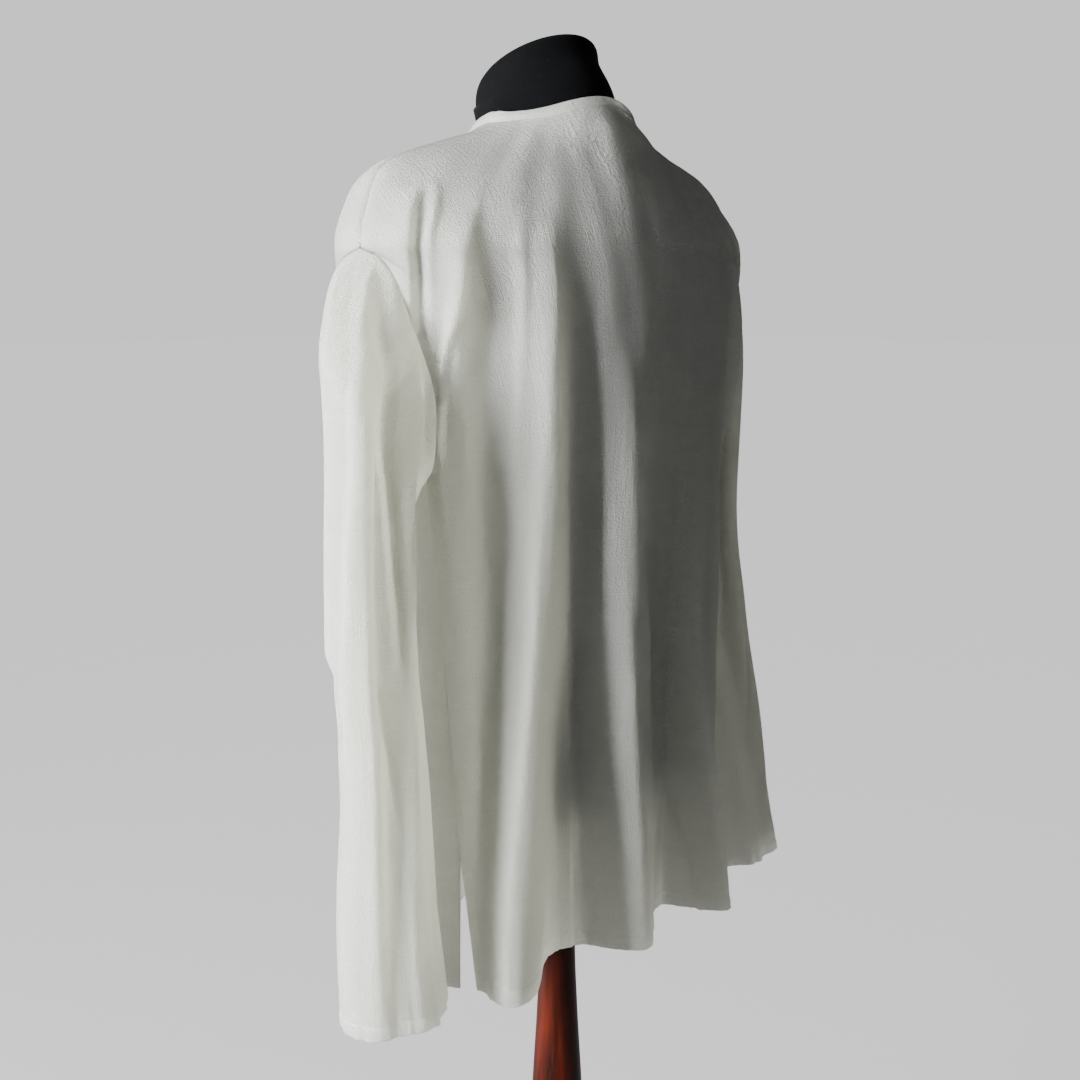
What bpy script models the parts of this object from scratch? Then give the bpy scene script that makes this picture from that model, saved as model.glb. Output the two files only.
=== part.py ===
"""A loose white shirt-tunic worn by a limbless dress form on a turned wooden stand.

Metres, +Z up. The origin is on the floor under the column's axis. The wearer
faces -Y and +X is the wearer's left. Heights in the tables are measured from
the level of the sleeve ends, which is SLEEVE_END above the floor.
"""
import math

import bpy
import numpy as np

# ---------------------------------------------------------------- named sizes
SLEEVE_END = 0.680          # height of the sleeve ends over the floor
WALL = 0.0016               # thickness of the cloth wall
SEAM = 0.0003               # gap left between two pieces at a seam
CLEAR = 0.0006              # gap between the cloth's inside and the form at the shoulders
ARMHOLE_TOP = 0.658         # dropped armhole seam, where it crosses the shoulder line
ARMHOLE_END = 0.462         # underarm point
SLIT_TOP = 0.122            # top of the side slits
SLIT_OPEN = 0.016           # how far a slit stands open at the hem
FOLD_EDGE = 0.14            # folds fade out within this angle of a panel's edge
SETTLE = 0.150              # drop over which the cloth settles below the shoulder
NECK_HALF = 0.0815          # neck edge of the panels, seen from above
NECK_BACK, NECK_FRONT = 0.062, 0.108
BAND_WIDE = 0.009           # width of the neck's binding
NECK_SHARE = 0.285          # share of a panel's half width that the neck takes
NECK_SLIT = 0.150           # length of the front neck slit
SLIT_SPREAD = 0.0022        # how far each side of the neck slit draws back at its top

# rows of the body's horizontal sections, from the top down
BODY = dict(
    height=(0.812, 0.800, 0.786, 0.773, 0.764, 0.756, 0.748, 0.740, 0.731, 0.718, 0.700,
            0.664, 0.600, 0.520, 0.460, 0.350, 0.200, 0.100, 0.000, -0.03),
    half_width=(0.018, 0.041, 0.063, 0.080, 0.099, 0.126, 0.155, 0.181, 0.203, 0.218, 0.2260,
                0.232, 0.226, 0.212, 0.203, 0.196, 0.193, 0.192, 0.192, 0.192),
    back=(0.042, 0.052, 0.063, 0.071, 0.076, 0.078, 0.081, 0.085, 0.089, 0.096, 0.103,
          0.111, 0.116, 0.118, 0.117, 0.114, 0.108, 0.103, 0.098, 0.097),
    front=(0.050, 0.060, 0.069, 0.075, 0.080, 0.086, 0.093, 0.100, 0.107, 0.114, 0.119,
           0.125, 0.129, 0.130, 0.129, 0.126, 0.121, 0.116, 0.112, 0.111),
    back_power=(2.0, 2.0, 2.0, 1.9, 1.7, 1.5, 1.38, 1.34, 1.36, 1.44, 1.60,
                1.85, 2.05, 2.1, 2.2, 2.4, 2.6, 2.8, 3.0, 3.0),
    front_power=(2.0, 2.0, 2.0, 1.9, 1.6, 1.5, 1.5, 1.6, 1.8, 2.05, 2.2,
                 2.3, 2.25, 2.2, 2.3, 2.4, 2.6, 2.8, 3.0, 3.0),
)

# how far behind the shoulder line the armhole's two branches and the side seam run
ARMHOLE = dict(
    height=(0.658, 0.655, 0.650, 0.642, 0.620, 0.590, 0.560, 0.530, 0.500, 0.480, 0.468, 0.462),
    back=(0.000, 0.010, 0.019, 0.027, 0.036, 0.042, 0.047, 0.050, 0.048, 0.044, 0.039, 0.035),
    front=(0.000, -0.011, -0.024, -0.036, -0.051, -0.054, -0.048, -0.033, -0.012, 0.008, 0.024, 0.035),
)
SIDE = dict(height=(0.462, 0.350, 0.200, 0.100, -0.03), behind=(0.035, 0.042, 0.050, 0.056, 0.062))

# crests and troughs of the folds, from the wearer's left to the right: where each
# lies at three heights and how far it stands out from the plain section there
FOLD_HEIGHTS = (0.000, 0.330, 0.600, 0.700)
BACK_FOLDS = (
    # name           x: hem   middle  chest | out: hem   middle   chest
    ("side_left",    0.1900, 0.1960, 0.2100,  0.0000,  0.0000,  0.0000),
    ("crest_side",   0.1880, 0.1900, 0.1880,  0.0000,  0.0040,  0.0080),
    ("trough_a",     0.1840, 0.1640, 0.1600,  0.0020, -0.0140, -0.0050),
    ("flute_1",      0.1560, 0.1280, 0.1120,  0.0430,  0.0150,  0.0040),
    ("trough_b",     0.0500, 0.0700, 0.0830, -0.0370, -0.0160, -0.0030),
    ("flute_2",     -0.0030, 0.0260, 0.0320,  0.0210,  0.0100,  0.0010),
    ("trough_c",    -0.0970,-0.0450,-0.0300, -0.0350, -0.0110, -0.0010),
    ("flute_3",     -0.1240,-0.0740,-0.0880,  0.0280,  0.0090,  0.0010),
    ("trough_d",    -0.1660,-0.1250,-0.1450, -0.0190, -0.0110, -0.0030),
    ("side_right",  -0.1900,-0.1960,-0.2100,  0.0000,  0.0000,  0.0000),
)
FRONT_FOLDS = (
    ("side_left",    0.1900, 0.2000, 0.2100,  0.0000,  0.0000,  0.0000),
    ("trough_a",     0.1500, 0.1560, 0.1600, -0.0130, -0.0050, -0.0030),
    ("flute_1",      0.1060, 0.1080, 0.1100,  0.0110,  0.0050,  0.0020),
    ("trough_b",     0.0500, 0.0560, 0.0650, -0.0150, -0.0060, -0.0020),
    ("flute_2",      0.0020, 0.0040, 0.0080,  0.0080,  0.0040,  0.0010),
    ("trough_c",    -0.0540,-0.0500,-0.0600, -0.0130, -0.0050, -0.0020),
    ("flute_3",     -0.1080,-0.1010,-0.1080,  0.0120,  0.0050,  0.0020),
    ("trough_d",    -0.1540,-0.1500,-0.1580, -0.0110, -0.0050, -0.0030),
    ("side_right",  -0.1900,-0.2000,-0.2100,  0.0000,  0.0000,  0.0000),
)

# rows of the sleeves' horizontal sections, top down
LEFT_SLEEVE = dict(
    height=(0.680, 0.600, 0.500, 0.400, 0.300, 0.250, 0.200, 0.100, 0.000, -0.03),
    across=(0.239, 0.248, 0.256, 0.261, 0.260, 0.256, 0.255, 0.256, 0.252, 0.251),
    behind=(0.000, 0.018, 0.033, 0.038, 0.041, 0.043, 0.045, 0.048, 0.052, 0.053),
    long=(0.045, 0.058, 0.065, 0.066, 0.065, 0.064, 0.064, 0.062, 0.060, 0.060),
    short=(0.038, 0.038, 0.036, 0.035, 0.034, 0.034, 0.035, 0.039, 0.042, 0.042),
    turn=(45.0, 45.0, 45.0, 44.0, 42.0, 40.0, 38.0, 32.0, 25.0, 25.0),
    fold=(0.3, 0.8, 1.0, 1.0, 0.9, 0.8, 0.7, 0.5, 0.4, 0.4),
)
RIGHT_SLEEVE = dict(
    height=(0.680, 0.600, 0.500, 0.400, 0.280, 0.165, 0.045, 0.000, -0.03),
    across=(0.236, 0.242, 0.246, 0.247, 0.247, 0.249, 0.252, 0.254, 0.255),
    behind=(0.000, -0.018, -0.034, -0.045, -0.036, -0.018, 0.000, 0.008, 0.010),
    long=(0.045, 0.046, 0.052, 0.060, 0.063, 0.063, 0.062, 0.062, 0.062),
    short=(0.038, 0.036, 0.035, 0.035, 0.036, 0.038, 0.042, 0.044, 0.044),
    turn=(60.0, 75.0, 85.0, 88.0, 75.0, 55.0, 35.0, 28.0, 28.0),
    fold=(0.3, 0.8, 1.0, 1.0, 0.9, 0.7, 0.5, 0.4, 0.4),
)
# folds down a sleeve: angle round its section from the long end, how far out, how wide
LEFT_SLEEVE_FOLDS = (
    # name          angle   out    half-width in degrees
    ("valley",       24.0, -0.020, 22.0),
    ("crest",        52.0,  0.004, 20.0),
    ("inner",       150.0, -0.010, 30.0),
    ("front",       235.0, -0.012, 28.0),
)
RIGHT_SLEEVE_FOLDS = (
    ("valley",       30.0, -0.014, 26.0),
    ("inner",       140.0, -0.010, 30.0),
    ("front",       230.0, -0.014, 28.0),
    ("outer",       300.0, -0.006, 24.0),
)
CUFF = dict(left=0.004, right=0.000)
SLEEVE_SQUARE = 2.3         # how square the sleeves' sections are
SLEEVE_ROOM = 0.0075        # how far a sleeve keeps off the body

# rows of the dress form below the shoulders, and of its neck
FORM = dict(
    height=(0.124, 0.132, 0.150, 0.210, 0.330, 0.450, 0.550, 0.620, 0.670, 0.705),
    half_width=(0.110, 0.130, 0.142, 0.148, 0.136, 0.152, 0.176, 0.192, 0.202, 0.2070),
    back=(0.050, 0.064, 0.071, 0.078, 0.084, 0.094, 0.104, 0.107, 0.103, 0.0980),
    front=(0.060, 0.076, 0.085, 0.094, 0.098, 0.108, 0.118, 0.119, 0.116, 0.1110),
)
FORM_NECK = dict(
    height=(0.776, 0.788, 0.800, 0.815, 0.835, 0.850),
    half_width=(0.0680, 0.0680, 0.0665, 0.0635, 0.0605, 0.0600),
    back=(0.0550, 0.0510, 0.0475, 0.0420, 0.0290, 0.0200),
    front=(0.0870, 0.0865, 0.0860, 0.0850, 0.0840, 0.0830),
)
FORM_LEVELS = (0.124, 0.132, 0.150, 0.210, 0.330, 0.450, 0.550, 0.620, 0.670)
# under the shoulders and at the neck's foot: level, and how much further inside the cloth
SHOULDER_LEVELS = (
    (0.702, 0.0), (0.714, 0.0), (0.724, 0.0), (0.731, 0.0), (0.7365, 0.0), (0.742, 0.0),
    (0.747, 0.0005), (0.752, 0.0015), (0.757, 0.003), (0.762, 0.005), (0.767, 0.007),
)
# the neck: share of the full neck reached, or left in its rounded top, and level
NECK_LEVELS = (
    (0.45, 0.776), (0.85, 0.788), (1.0, 0.800), (1.0, 0.820), (1.0, 0.846),
    (0.98, 0.852), (0.87, 0.8570), (0.45, 0.8585),
)
NECK_FOOT, NECK_TOP = 0.800, 0.845  # where the neck proper begins, and its rounded top
FORM_SQUARE = 2.2           # how square the form's sections are
FORM_SLACK = 0.004          # how much lower the form lies away from the shoulder line
THROAT_SLACK = 0.012        # and how much lower at the throat
NECK_TILT = 0.52            # slope of the form's neck top, down towards the front

# turned column and base, height over the floor against radius
COLUMN = dict(
    height=(0.029, 0.044, 0.054, 0.066, 0.086, 0.130, 0.200,
            0.300, 0.400, 0.500, 0.580, 0.650, 0.720, 0.8037),
    radius=(0.040, 0.040, 0.033, 0.026, 0.024, 0.029, 0.0335,
            0.0335, 0.0295, 0.0253, 0.0207, 0.0180, 0.0175, 0.0175),
)
BASE = dict(
    height=(0.000, 0.004, 0.016, 0.022, 0.0285, 0.0287),
    radius=(0.178, 0.184, 0.186, 0.182, 0.160, 0.060),
)


# ------------------------------------------------------------------- helpers
def smooth(xs, ys, x):
    """A smooth curve through table points that never overshoots them."""
    xs, ys = np.asarray(xs, float), np.asarray(ys, float)
    if xs[0] > xs[-1]:
        xs, ys = xs[::-1], ys[::-1]
    step = np.diff(xs)
    rise = np.diff(ys) / step
    slope = np.zeros_like(ys)
    same = rise[:-1] * rise[1:] > 0
    a, b = 2 * step[1:] + step[:-1], step[1:] + 2 * step[:-1]
    safe_a, safe_b = np.where(same, rise[:-1], 1.0), np.where(same, rise[1:], 1.0)
    slope[1:-1] = np.where(same, (a + b) / (a / safe_a + b / safe_b), 0.0)
    slope[0], slope[-1] = rise[0], rise[-1]
    x = np.clip(x, xs[0], xs[-1])
    i = np.clip(np.searchsorted(xs, x, side="right") - 1, 0, len(step) - 1)
    t = (x - xs[i]) / step[i]
    return ((1 + 2 * t) * (1 - t) ** 2 * ys[i] + t * (1 - t) ** 2 * step[i] * slope[i]
            + t * t * (3 - 2 * t) * ys[i + 1] + t * t * (t - 1) * step[i] * slope[i + 1])


def column_of(table, name, z):
    return smooth(table["height"], table[name], z)


def ease(t):
    t = np.clip(t, 0.0, 1.0)
    return t * t * (3 - 2 * t)


def unit(v):
    return v / np.maximum(np.linalg.norm(v, axis=-1, keepdims=True), 1e-12)


# ------------------------------------------------- the body of the tunic
def fold_out(x, z, folds):
    """How far the cloth stands out from the plain section at x and height z."""
    hem, mid, chest, top = FOLD_HEIGHTS
    where = [smooth((hem, mid, chest), row[1:4], np.clip(z, hem, chest)) for row in folds]
    how = [smooth((hem, mid, chest, top), (*row[4:7], 0.0), np.clip(z, hem, top)) for row in folds]
    result = how[0]
    for k in range(len(folds) - 1):
        t = (x - where[k]) / np.minimum(where[k + 1] - where[k], -1e-4)
        part = how[k] + (how[k + 1] - how[k]) * (1 - np.cos(np.pi * np.clip(t, 0, 1))) / 2
        result = np.where(t > 0, part, result)
    return result


def body_sizes(angle, z):
    behind = np.cos(angle) >= 0
    deep = np.where(behind, column_of(BODY, "back", z), column_of(BODY, "front", z))
    power = np.where(behind, column_of(BODY, "back_power", z), column_of(BODY, "front_power", z))
    return column_of(BODY, "half_width", z), deep, power


def radius_of(angle, z):
    wide, deep, power = body_sizes(angle, z)
    s, c = np.abs(np.sin(angle)), np.abs(np.cos(angle))
    return ((s / wide) ** power + (c / deep) ** power) ** (-1 / power)


def angle_of(x, z, side):
    """Angle round the body, 0 behind and a quarter turn at the left, of the base point x."""
    wide = column_of(BODY, "half_width", z)
    deep = column_of(BODY, "back" if side > 0 else "front", z)
    power = column_of(BODY, "back_power" if side > 0 else "front_power", z)
    share = np.clip(np.abs(x) / wide, 0, 1)
    return np.arctan2(x, side * deep * (1 - share ** power) ** (1 / power))


def edge_angle(y, z):
    """Angle of the left side's base point that has this y."""
    deep = np.where(y >= 0, column_of(BODY, "back", z), column_of(BODY, "front", z))
    wide = column_of(BODY, "half_width", z)
    power = np.where(y >= 0, column_of(BODY, "back_power", z), column_of(BODY, "front_power", z))
    x = wide * (1 - np.clip(np.abs(y) / deep, 0, 1) ** power) ** (1 / power)
    return np.arctan2(x, y)


def edge_of(z, side):
    """Angle of the panel's left edge at height z: shoulder line, armhole, then side seam."""
    z = np.asarray(z, float)
    armhole = column_of(ARMHOLE, "back" if side > 0 else "front", z)
    y = np.where(z > ARMHOLE_END, armhole, column_of(SIDE, "behind", z))
    return edge_angle(np.where(z >= ARMHOLE_TOP, 0.0, y), z)


def body_point(angle, z, side):
    """A point of the tunic's body, with its folds; side +1 is the back panel."""
    angle, z = np.broadcast_arrays(np.asarray(angle, float), np.asarray(z, float))
    wide, deep, power = body_sizes(angle, z)
    radius = radius_of(angle, z)
    x, y = radius * np.sin(angle), radius * np.cos(angle)
    nx = np.sign(x) * (np.abs(x) / wide) ** (power - 1) / wide
    ny = np.sign(y) * (np.abs(y) / deep) ** (power - 1) / deep
    length = np.maximum(np.hypot(nx, ny), 1e-9)
    out = fold_out(x, z, BACK_FOLDS if side > 0 else FRONT_FOLDS)
    turn = np.abs(angle) if side > 0 else np.pi - np.abs(np.mod(angle, 2 * np.pi) - np.pi)
    room = (edge_of(z, side) - turn) * side
    out = out * ease(room / FOLD_EDGE)
    return np.stack([x + out * nx / length, y + out * ny / length, z], -1)


SHARES = np.linspace(-1.0, 1.0, 241)
LEVELS = np.concatenate([
    np.linspace(-0.03, ARMHOLE_END, 34),
    np.linspace(ARMHOLE_END, ARMHOLE_TOP, 26)[1:],
])


def angle_table(side):
    """Angles that cut the panel into equal widths of cloth, level by level."""
    rows, widths = [], []
    for z in LEVELS:
        edge = edge_of(z, side)
        turns = np.linspace(-edge, edge, 721) if side > 0 else np.linspace(2 * np.pi - edge, edge, 721)
        run = np.linalg.norm(np.diff(body_point(turns, z, side), axis=0), axis=1)
        run = np.concatenate([[0.0], np.cumsum(run)])
        widths.append(run[-1])
        rows.append(np.interp((SHARES + 1) / 2 * run[-1], run, turns))
    return np.array(rows), np.array(widths)


def lookup(table, s, z):
    """Reads a table over LEVELS and SHARES between its entries."""
    i = np.clip(np.interp(z, LEVELS, np.arange(len(LEVELS))), 0, len(LEVELS) - 1.000001)
    j = np.clip((s + 1) / 2 * (len(SHARES) - 1), 0, len(SHARES) - 1.000001)
    a, b = i.astype(int), j.astype(int)
    u, v = i - a, j - b
    return ((1 - u) * ((1 - v) * table[a, b] + v * table[a, b + 1])
            + u * ((1 - v) * table[a + 1, b] + v * table[a + 1, b + 1]))


def neck_edge(share, side):
    """Neck edge of a panel, share -1 to 1 from one shoulder to the other."""
    turn = np.asarray(share, float) * math.pi / 2
    x = NECK_HALF * np.sin(turn)
    y = side * (NECK_BACK if side > 0 else NECK_FRONT) * np.cos(turn)
    low, high = np.full(x.shape, 0.66), np.full(x.shape, 0.811)
    for _ in range(40):
        z = (low + high) / 2
        wide = column_of(BODY, "half_width", z)
        deep = column_of(BODY, "back" if side > 0 else "front", z)
        power = column_of(BODY, "back_power" if side > 0 else "front_power", z)
        inside = (np.abs(x) / wide) ** power + (np.clip(side * y, 0, 1) / deep) ** power < 1
        low, high = np.where(inside, z, low), np.where(inside, high, z)
    return np.stack([x, y, z], -1)


def shoulder_line(share):
    """Height and half width of the shoulder seam's points, share 0 at the neck to 1 at the armhole."""
    start = float(neck_edge(np.array([1.0]), 1)[0, 2])
    z = np.linspace(start, ARMHOLE_TOP, 400)
    x = column_of(BODY, "half_width", z)
    run = np.concatenate([[0.0], np.cumsum(np.hypot(np.diff(x), np.diff(z)))])
    at = np.interp(share, run / run[-1], z)
    return at, column_of(BODY, "half_width", at)


def armhole_rows(side, count):
    """Heights that cut one side of the armhole into equal lengths of seam."""
    middle, half = (ARMHOLE_TOP + ARMHOLE_END) / 2, (ARMHOLE_TOP - ARMHOLE_END) / 2
    z = middle + half * np.cos(np.linspace(0, math.pi, 801))
    run = np.linalg.norm(np.diff(body_point(edge_of(z, side), z, side), axis=0), axis=1)
    run = np.concatenate([[0.0], np.cumsum(run)])
    return np.interp(np.linspace(0, run[-1], count + 1), run, z)


def panel_grid(side, shares, arm_rows, side_heights):
    """Outer face of the back or front: rows from the top edge down, columns from right to left."""
    table, _ = angle_table(side)
    edge_z = np.concatenate([armhole_rows(side, arm_rows), side_heights])
    hem = side_heights[-1]
    s = np.asarray(shares, float)
    inner = np.abs(s) <= NECK_SHARE + 1e-9
    top, start_x = np.empty(len(s)), np.empty(len(s))
    neck = neck_edge(np.clip(s / NECK_SHARE, -1, 1), side)
    top[inner], start_x[inner] = neck[inner, 2], neck[inner, 0]
    height, wide = shoulder_line((np.abs(s) - NECK_SHARE) / (1 - NECK_SHARE))
    top[~inner], start_x[~inner] = height[~inner], (np.sign(s) * wide)[~inner]
    edge_share = (ARMHOLE_TOP - edge_z) / (ARMHOLE_TOP - hem)
    even = np.linspace(0, 1, len(edge_z)) ** 1.35
    grid = np.empty((len(edge_z), len(s), 3))
    for j, share in enumerate(s):
        blend = abs(share) ** 4
        down = even * (1 - blend) + edge_share * blend
        z = top[j] - (top[j] - hem) * down
        level = np.minimum(z, ARMHOLE_TOP)
        turn = lookup(table, np.full(len(z), share), level)
        part = ease((top[j] - z) / (SETTLE * (1 - abs(share) ** 6) + 1e-4))
        base_x = np.sin(turn) * radius_of(turn, level)
        goal_x = base_x * column_of(BODY, "half_width", z) / column_of(BODY, "half_width", level)
        mixed = start_x[j] + (goal_x - start_x[j]) * part
        turn = np.where(part < 1, angle_of(mixed, z, side), turn)
        grid[:, j] = body_point(turn, z, side)
    grid[0, inner] = neck[inner]
    return grid


# ------------------------------------------------------------------ sleeves
TURNS = np.linspace(0.0, 1.0, 181)


def sleeve_section(table, folds, z):
    """Section of a hanging sleeve, from its outer side round by the back, and its length."""
    across, behind = column_of(table, "across", z), column_of(table, "behind", z)
    long, short = column_of(table, "long", z), column_of(table, "short", z)
    turn, depth = math.radians(column_of(table, "turn", z)), column_of(table, "fold", z)
    psi = np.linspace(0, 2 * math.pi, 721) - turn
    s, c = np.abs(np.sin(psi)), np.abs(np.cos(psi))
    radius = ((c / long) ** SLEEVE_SQUARE + (s / short) ** SLEEVE_SQUARE) ** (-1 / SLEEVE_SQUARE)
    px, py = radius * np.cos(psi), radius * np.sin(psi)
    nx = np.sign(px) * (np.abs(px) / long) ** (SLEEVE_SQUARE - 1) / long
    ny = np.sign(py) * (np.abs(py) / short) ** (SLEEVE_SQUARE - 1) / short
    length = np.hypot(nx, ny)
    polar = np.degrees(np.arctan2(py, px))
    out = np.zeros_like(px)
    for _, angle, far, width in folds:
        gap = np.abs((polar - angle + 180.0) % 360.0 - 180.0)
        out += far * depth * np.where(gap < width, (1 + np.cos(np.pi * gap / width)) / 2, 0.0)
    px, py = px + out * nx / length, py + out * ny / length
    x = across + px * math.cos(turn) - py * math.sin(turn)
    y = behind + px * math.sin(turn) + py * math.cos(turn)
    run = np.concatenate([[0.0], np.cumsum(np.hypot(np.diff(x), np.diff(y)))])
    at = TURNS * run[-1]
    return np.stack([np.interp(at, run, x), np.interp(at, run, y)], -1), run[-1]


def sleeve_grid(loop, table, folds, end, rings):
    """Outer face of a sleeve as a left one: rings from the armhole down, from the top by the back."""
    levels = np.linspace(0.69, -0.03, 61)
    stack = np.array([sleeve_section(table, folds, z)[0] for z in levels])
    closed = np.concatenate([loop, loop[:1]])
    run = np.concatenate([[0.0], np.cumsum(np.linalg.norm(np.diff(closed, axis=0), axis=1))])
    share = run[:-1] / run[-1]
    around = np.minimum(np.abs(share), np.abs(1 - share)) * 2

    def hang(z):
        i = np.clip((0.69 - z) / 0.012, 0, 59.99999)
        j = np.clip(share * 180, 0, 179.99999)
        a, b = i.astype(int), j.astype(int)
        u, v = (i - a)[:, None], (j - b)[:, None]
        return ((1 - u) * ((1 - v) * stack[a, b] + v * stack[a, b + 1])
                + u * ((1 - v) * stack[a + 1, b] + v * stack[a + 1, b + 1]))

    fall = 0.095 - 0.055 * ease(around)
    power = 0.75 - 0.25 * ease(around)
    under = ease((around - 0.55) / 0.40)
    grid = np.empty((rings + 1, len(loop), 3))
    for k in range(rings + 1):
        part = (k / rings) ** 1.5
        z = loop[:, 2] + (end - loop[:, 2]) * part
        gone = np.clip((loop[:, 2] - z) / fall, 0, 1)
        quick = (1 - (1 - gone) ** 2) ** power
        slow = ease((loop[:, 2] - z) / (fall + 0.035))
        leave = np.stack([quick, quick * (1 - under) + slow * under], -1)
        plain = hang(z)
        grid[k, :, :2] = loop[:, :2] * (1 - leave) + plain * leave
        grid[k, :, 2] = z
        # a sleeve hangs outside the body: just under the armhole it is held clear of it
        turn = np.arctan2(grid[k, :, 0], grid[k, :, 1])
        least = radius_of(turn, z) + SLEEVE_ROOM * ease((loop[:, 2] - z) / 0.008) + 2 * SEAM
        far = np.hypot(grid[k, :, 0], grid[k, :, 1])
        grid[k, :, :2] *= np.maximum(1.0, least / far)[:, None]
    grid[0] = loop
    return grid


# ------------------------------------------------------- making closed walls
def grid_faces(rows, columns, closed, flip):
    """Quads of a grid, closed round its columns or not."""
    quads = []
    for i in range(rows - 1):
        for j in range(columns if closed else columns - 1):
            k = (j + 1) % columns
            quad = (i * columns + j, i * columns + k, (i + 1) * columns + k, (i + 1) * columns + j)
            quads.append(quad[::-1] if flip else quad)
    return quads


def triangles_of(points, quads):
    """Splits each quad along the diagonal that bends its two halves least."""
    result = []
    for a, b, c, d in quads:
        pa, pb, pc, pd = points[a], points[b], points[c], points[d]
        one = (unit(np.cross(pb - pa, pc - pa)) * unit(np.cross(pc - pa, pd - pa))).sum()
        two = (unit(np.cross(pb - pa, pd - pa)) * unit(np.cross(pc - pb, pd - pb))).sum()
        result += [(a, b, c), (a, c, d)] if one >= two else [(a, b, d), (b, c, d)]
    return np.array(result)


def point_normals(points, faces):
    cross = np.cross(points[faces[:, 1]] - points[faces[:, 0]], points[faces[:, 2]] - points[faces[:, 0]])
    total = np.zeros_like(points)
    for k in range(3):
        np.add.at(total, faces[:, k], cross)
    return unit(total)


def wall_mesh(outer, inner, faces):
    """Outer and inner faces of a wall joined along every free edge."""
    count = len(outer)
    edges = {}
    for a, b, c in faces:
        for p, q in ((a, b), (b, c), (c, a)):
            edges[(p, q)] = True
    rim = [(p, q) for p, q in edges if (q, p) not in edges]
    closing = []
    for p, q in rim:
        closing += [(q, p, p + count), (q, p + count, q + count)]
    back = [(c + count, b + count, a + count) for a, b, c in faces]
    return np.concatenate([outer, inner]), [tuple(f) for f in faces] + back + closing


def facing_out(points, faces):
    """The faces of a closed body, turned over together if they face inwards."""
    signed = sum(np.dot(points[a], np.cross(points[b], points[c])) for a, b, c in faces)
    return [face[::-1] for face in faces] if signed < 0 else faces


def add_object(name, points, faces, material):
    mesh = bpy.data.meshes.new(name)
    mesh.from_pydata([tuple(p) for p in points], [], [tuple(int(i) for i in f) for f in faces])
    mesh.materials.append(material)
    for polygon in mesh.polygons:
        polygon.use_smooth = True
    mesh.update()
    obj = bpy.data.objects.new(name, mesh)
    bpy.context.scene.collection.objects.link(obj)
    return obj


def loft(rings):
    """Closed body through rings from the bottom up, each run anticlockwise seen from above."""
    rings = np.asarray(rings, float)
    count, around = rings.shape[:2]
    points = np.concatenate([rings.reshape(-1, 3), rings[0].mean(0)[None], rings[-1].mean(0)[None]])
    faces = []
    for i in range(count - 1):
        for j in range(around):
            k = (j + 1) % around
            a, b, c, d = i * around + j, i * around + k, (i + 1) * around + k, (i + 1) * around + j
            faces += [(a, b, c), (a, c, d)]
    low, high = count * around, count * around + 1
    for j in range(around):
        k = (j + 1) % around
        faces.append((low, k, j))
        faces.append((high, (count - 1) * around + j, (count - 1) * around + k))
    return points, faces


# -------------------------------------------------------------- the tunic
NECK_STEPS, SHOULDER_STEPS, ARM_ROWS, SLEEVE_RINGS = 7, 16, 11, 13
SIDE_ROWS = (0.425, 0.385, 0.340, 0.290, 0.245, 0.200, 0.160, SLIT_TOP, 0.085, 0.050, 0.022, 0.0)

shares = np.concatenate([
    -1 + (1 - NECK_SHARE) * np.arange(SHOULDER_STEPS) / SHOULDER_STEPS,
    NECK_SHARE * np.arange(-NECK_STEPS, NECK_STEPS + 1) / NECK_STEPS,
    NECK_SHARE + (1 - NECK_SHARE) * np.arange(1, SHOULDER_STEPS + 1) / SHOULDER_STEPS,
])
back = panel_grid(1, shares, ARM_ROWS, SIDE_ROWS)
front = panel_grid(-1, shares, ARM_ROWS, SIDE_ROWS)
for column in (0, -1):                                      # both edges are one line
    shared = (back[ARM_ROWS:, column] + front[ARM_ROWS:, column]) / 2
    back[ARM_ROWS:, column] = front[ARM_ROWS:, column] = shared
    back[0, column] = front[0, column] = (back[0, column] + front[0, column]) / 2
front[0, :SHOULDER_STEPS + 1] = back[0, :SHOULDER_STEPS + 1]
front[0, -SHOULDER_STEPS - 1:] = back[0, -SHOULDER_STEPS - 1:]

loop = np.concatenate([back[:ARM_ROWS + 1, -1], front[1:ARM_ROWS, -1][::-1]])
ring = np.empty((2 * len(loop), 3))
ring[0::2] = loop
ring[1::2] = (loop + np.roll(loop, -1, axis=0)) / 2
left = sleeve_grid(ring, LEFT_SLEEVE, LEFT_SLEEVE_FOLDS, CUFF["left"], SLEEVE_RINGS)
right = sleeve_grid(ring, RIGHT_SLEEVE, RIGHT_SLEEVE_FOLDS, CUFF["right"], SLEEVE_RINGS)
right[..., 0] *= -1

rows, columns = back.shape[:2]
panels = {
    "back": dict(grid=back, closed=False, flip=False),
    "front": dict(grid=front, closed=False, flip=True),
    "sleeve_left": dict(grid=left, closed=True, flip=True),
    "sleeve_right": dict(grid=right, closed=True, flip=False),
}

# the front's neck slit: its middle column is doubled down to the slit's end
MIDDLE = columns // 2
neck_top = front[0, MIDDLE, 2]
slit_rows = int(np.argmin(np.abs(front[:, MIDDLE, 2] - (neck_top - NECK_SLIT))))


for name, panel in panels.items():
    g = panel["grid"]
    points = g.reshape(-1, 3).copy()
    quads = grid_faces(g.shape[0], g.shape[1], panel["closed"], panel["flip"])
    panel["faces"] = triangles_of(points, quads)
    panel["points"] = points
    panel["normals"] = point_normals(points, panel["faces"])
    panel["shift"] = np.zeros_like(points)
    panel["shared"] = {}


def at(name, i, j):
    g = panels[name]["grid"]
    return (i % g.shape[0]) * g.shape[1] + (j % g.shape[1])


seam_sum = {}


def key_of(point):
    return tuple(np.round(point * 1e5).astype(int))


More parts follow.
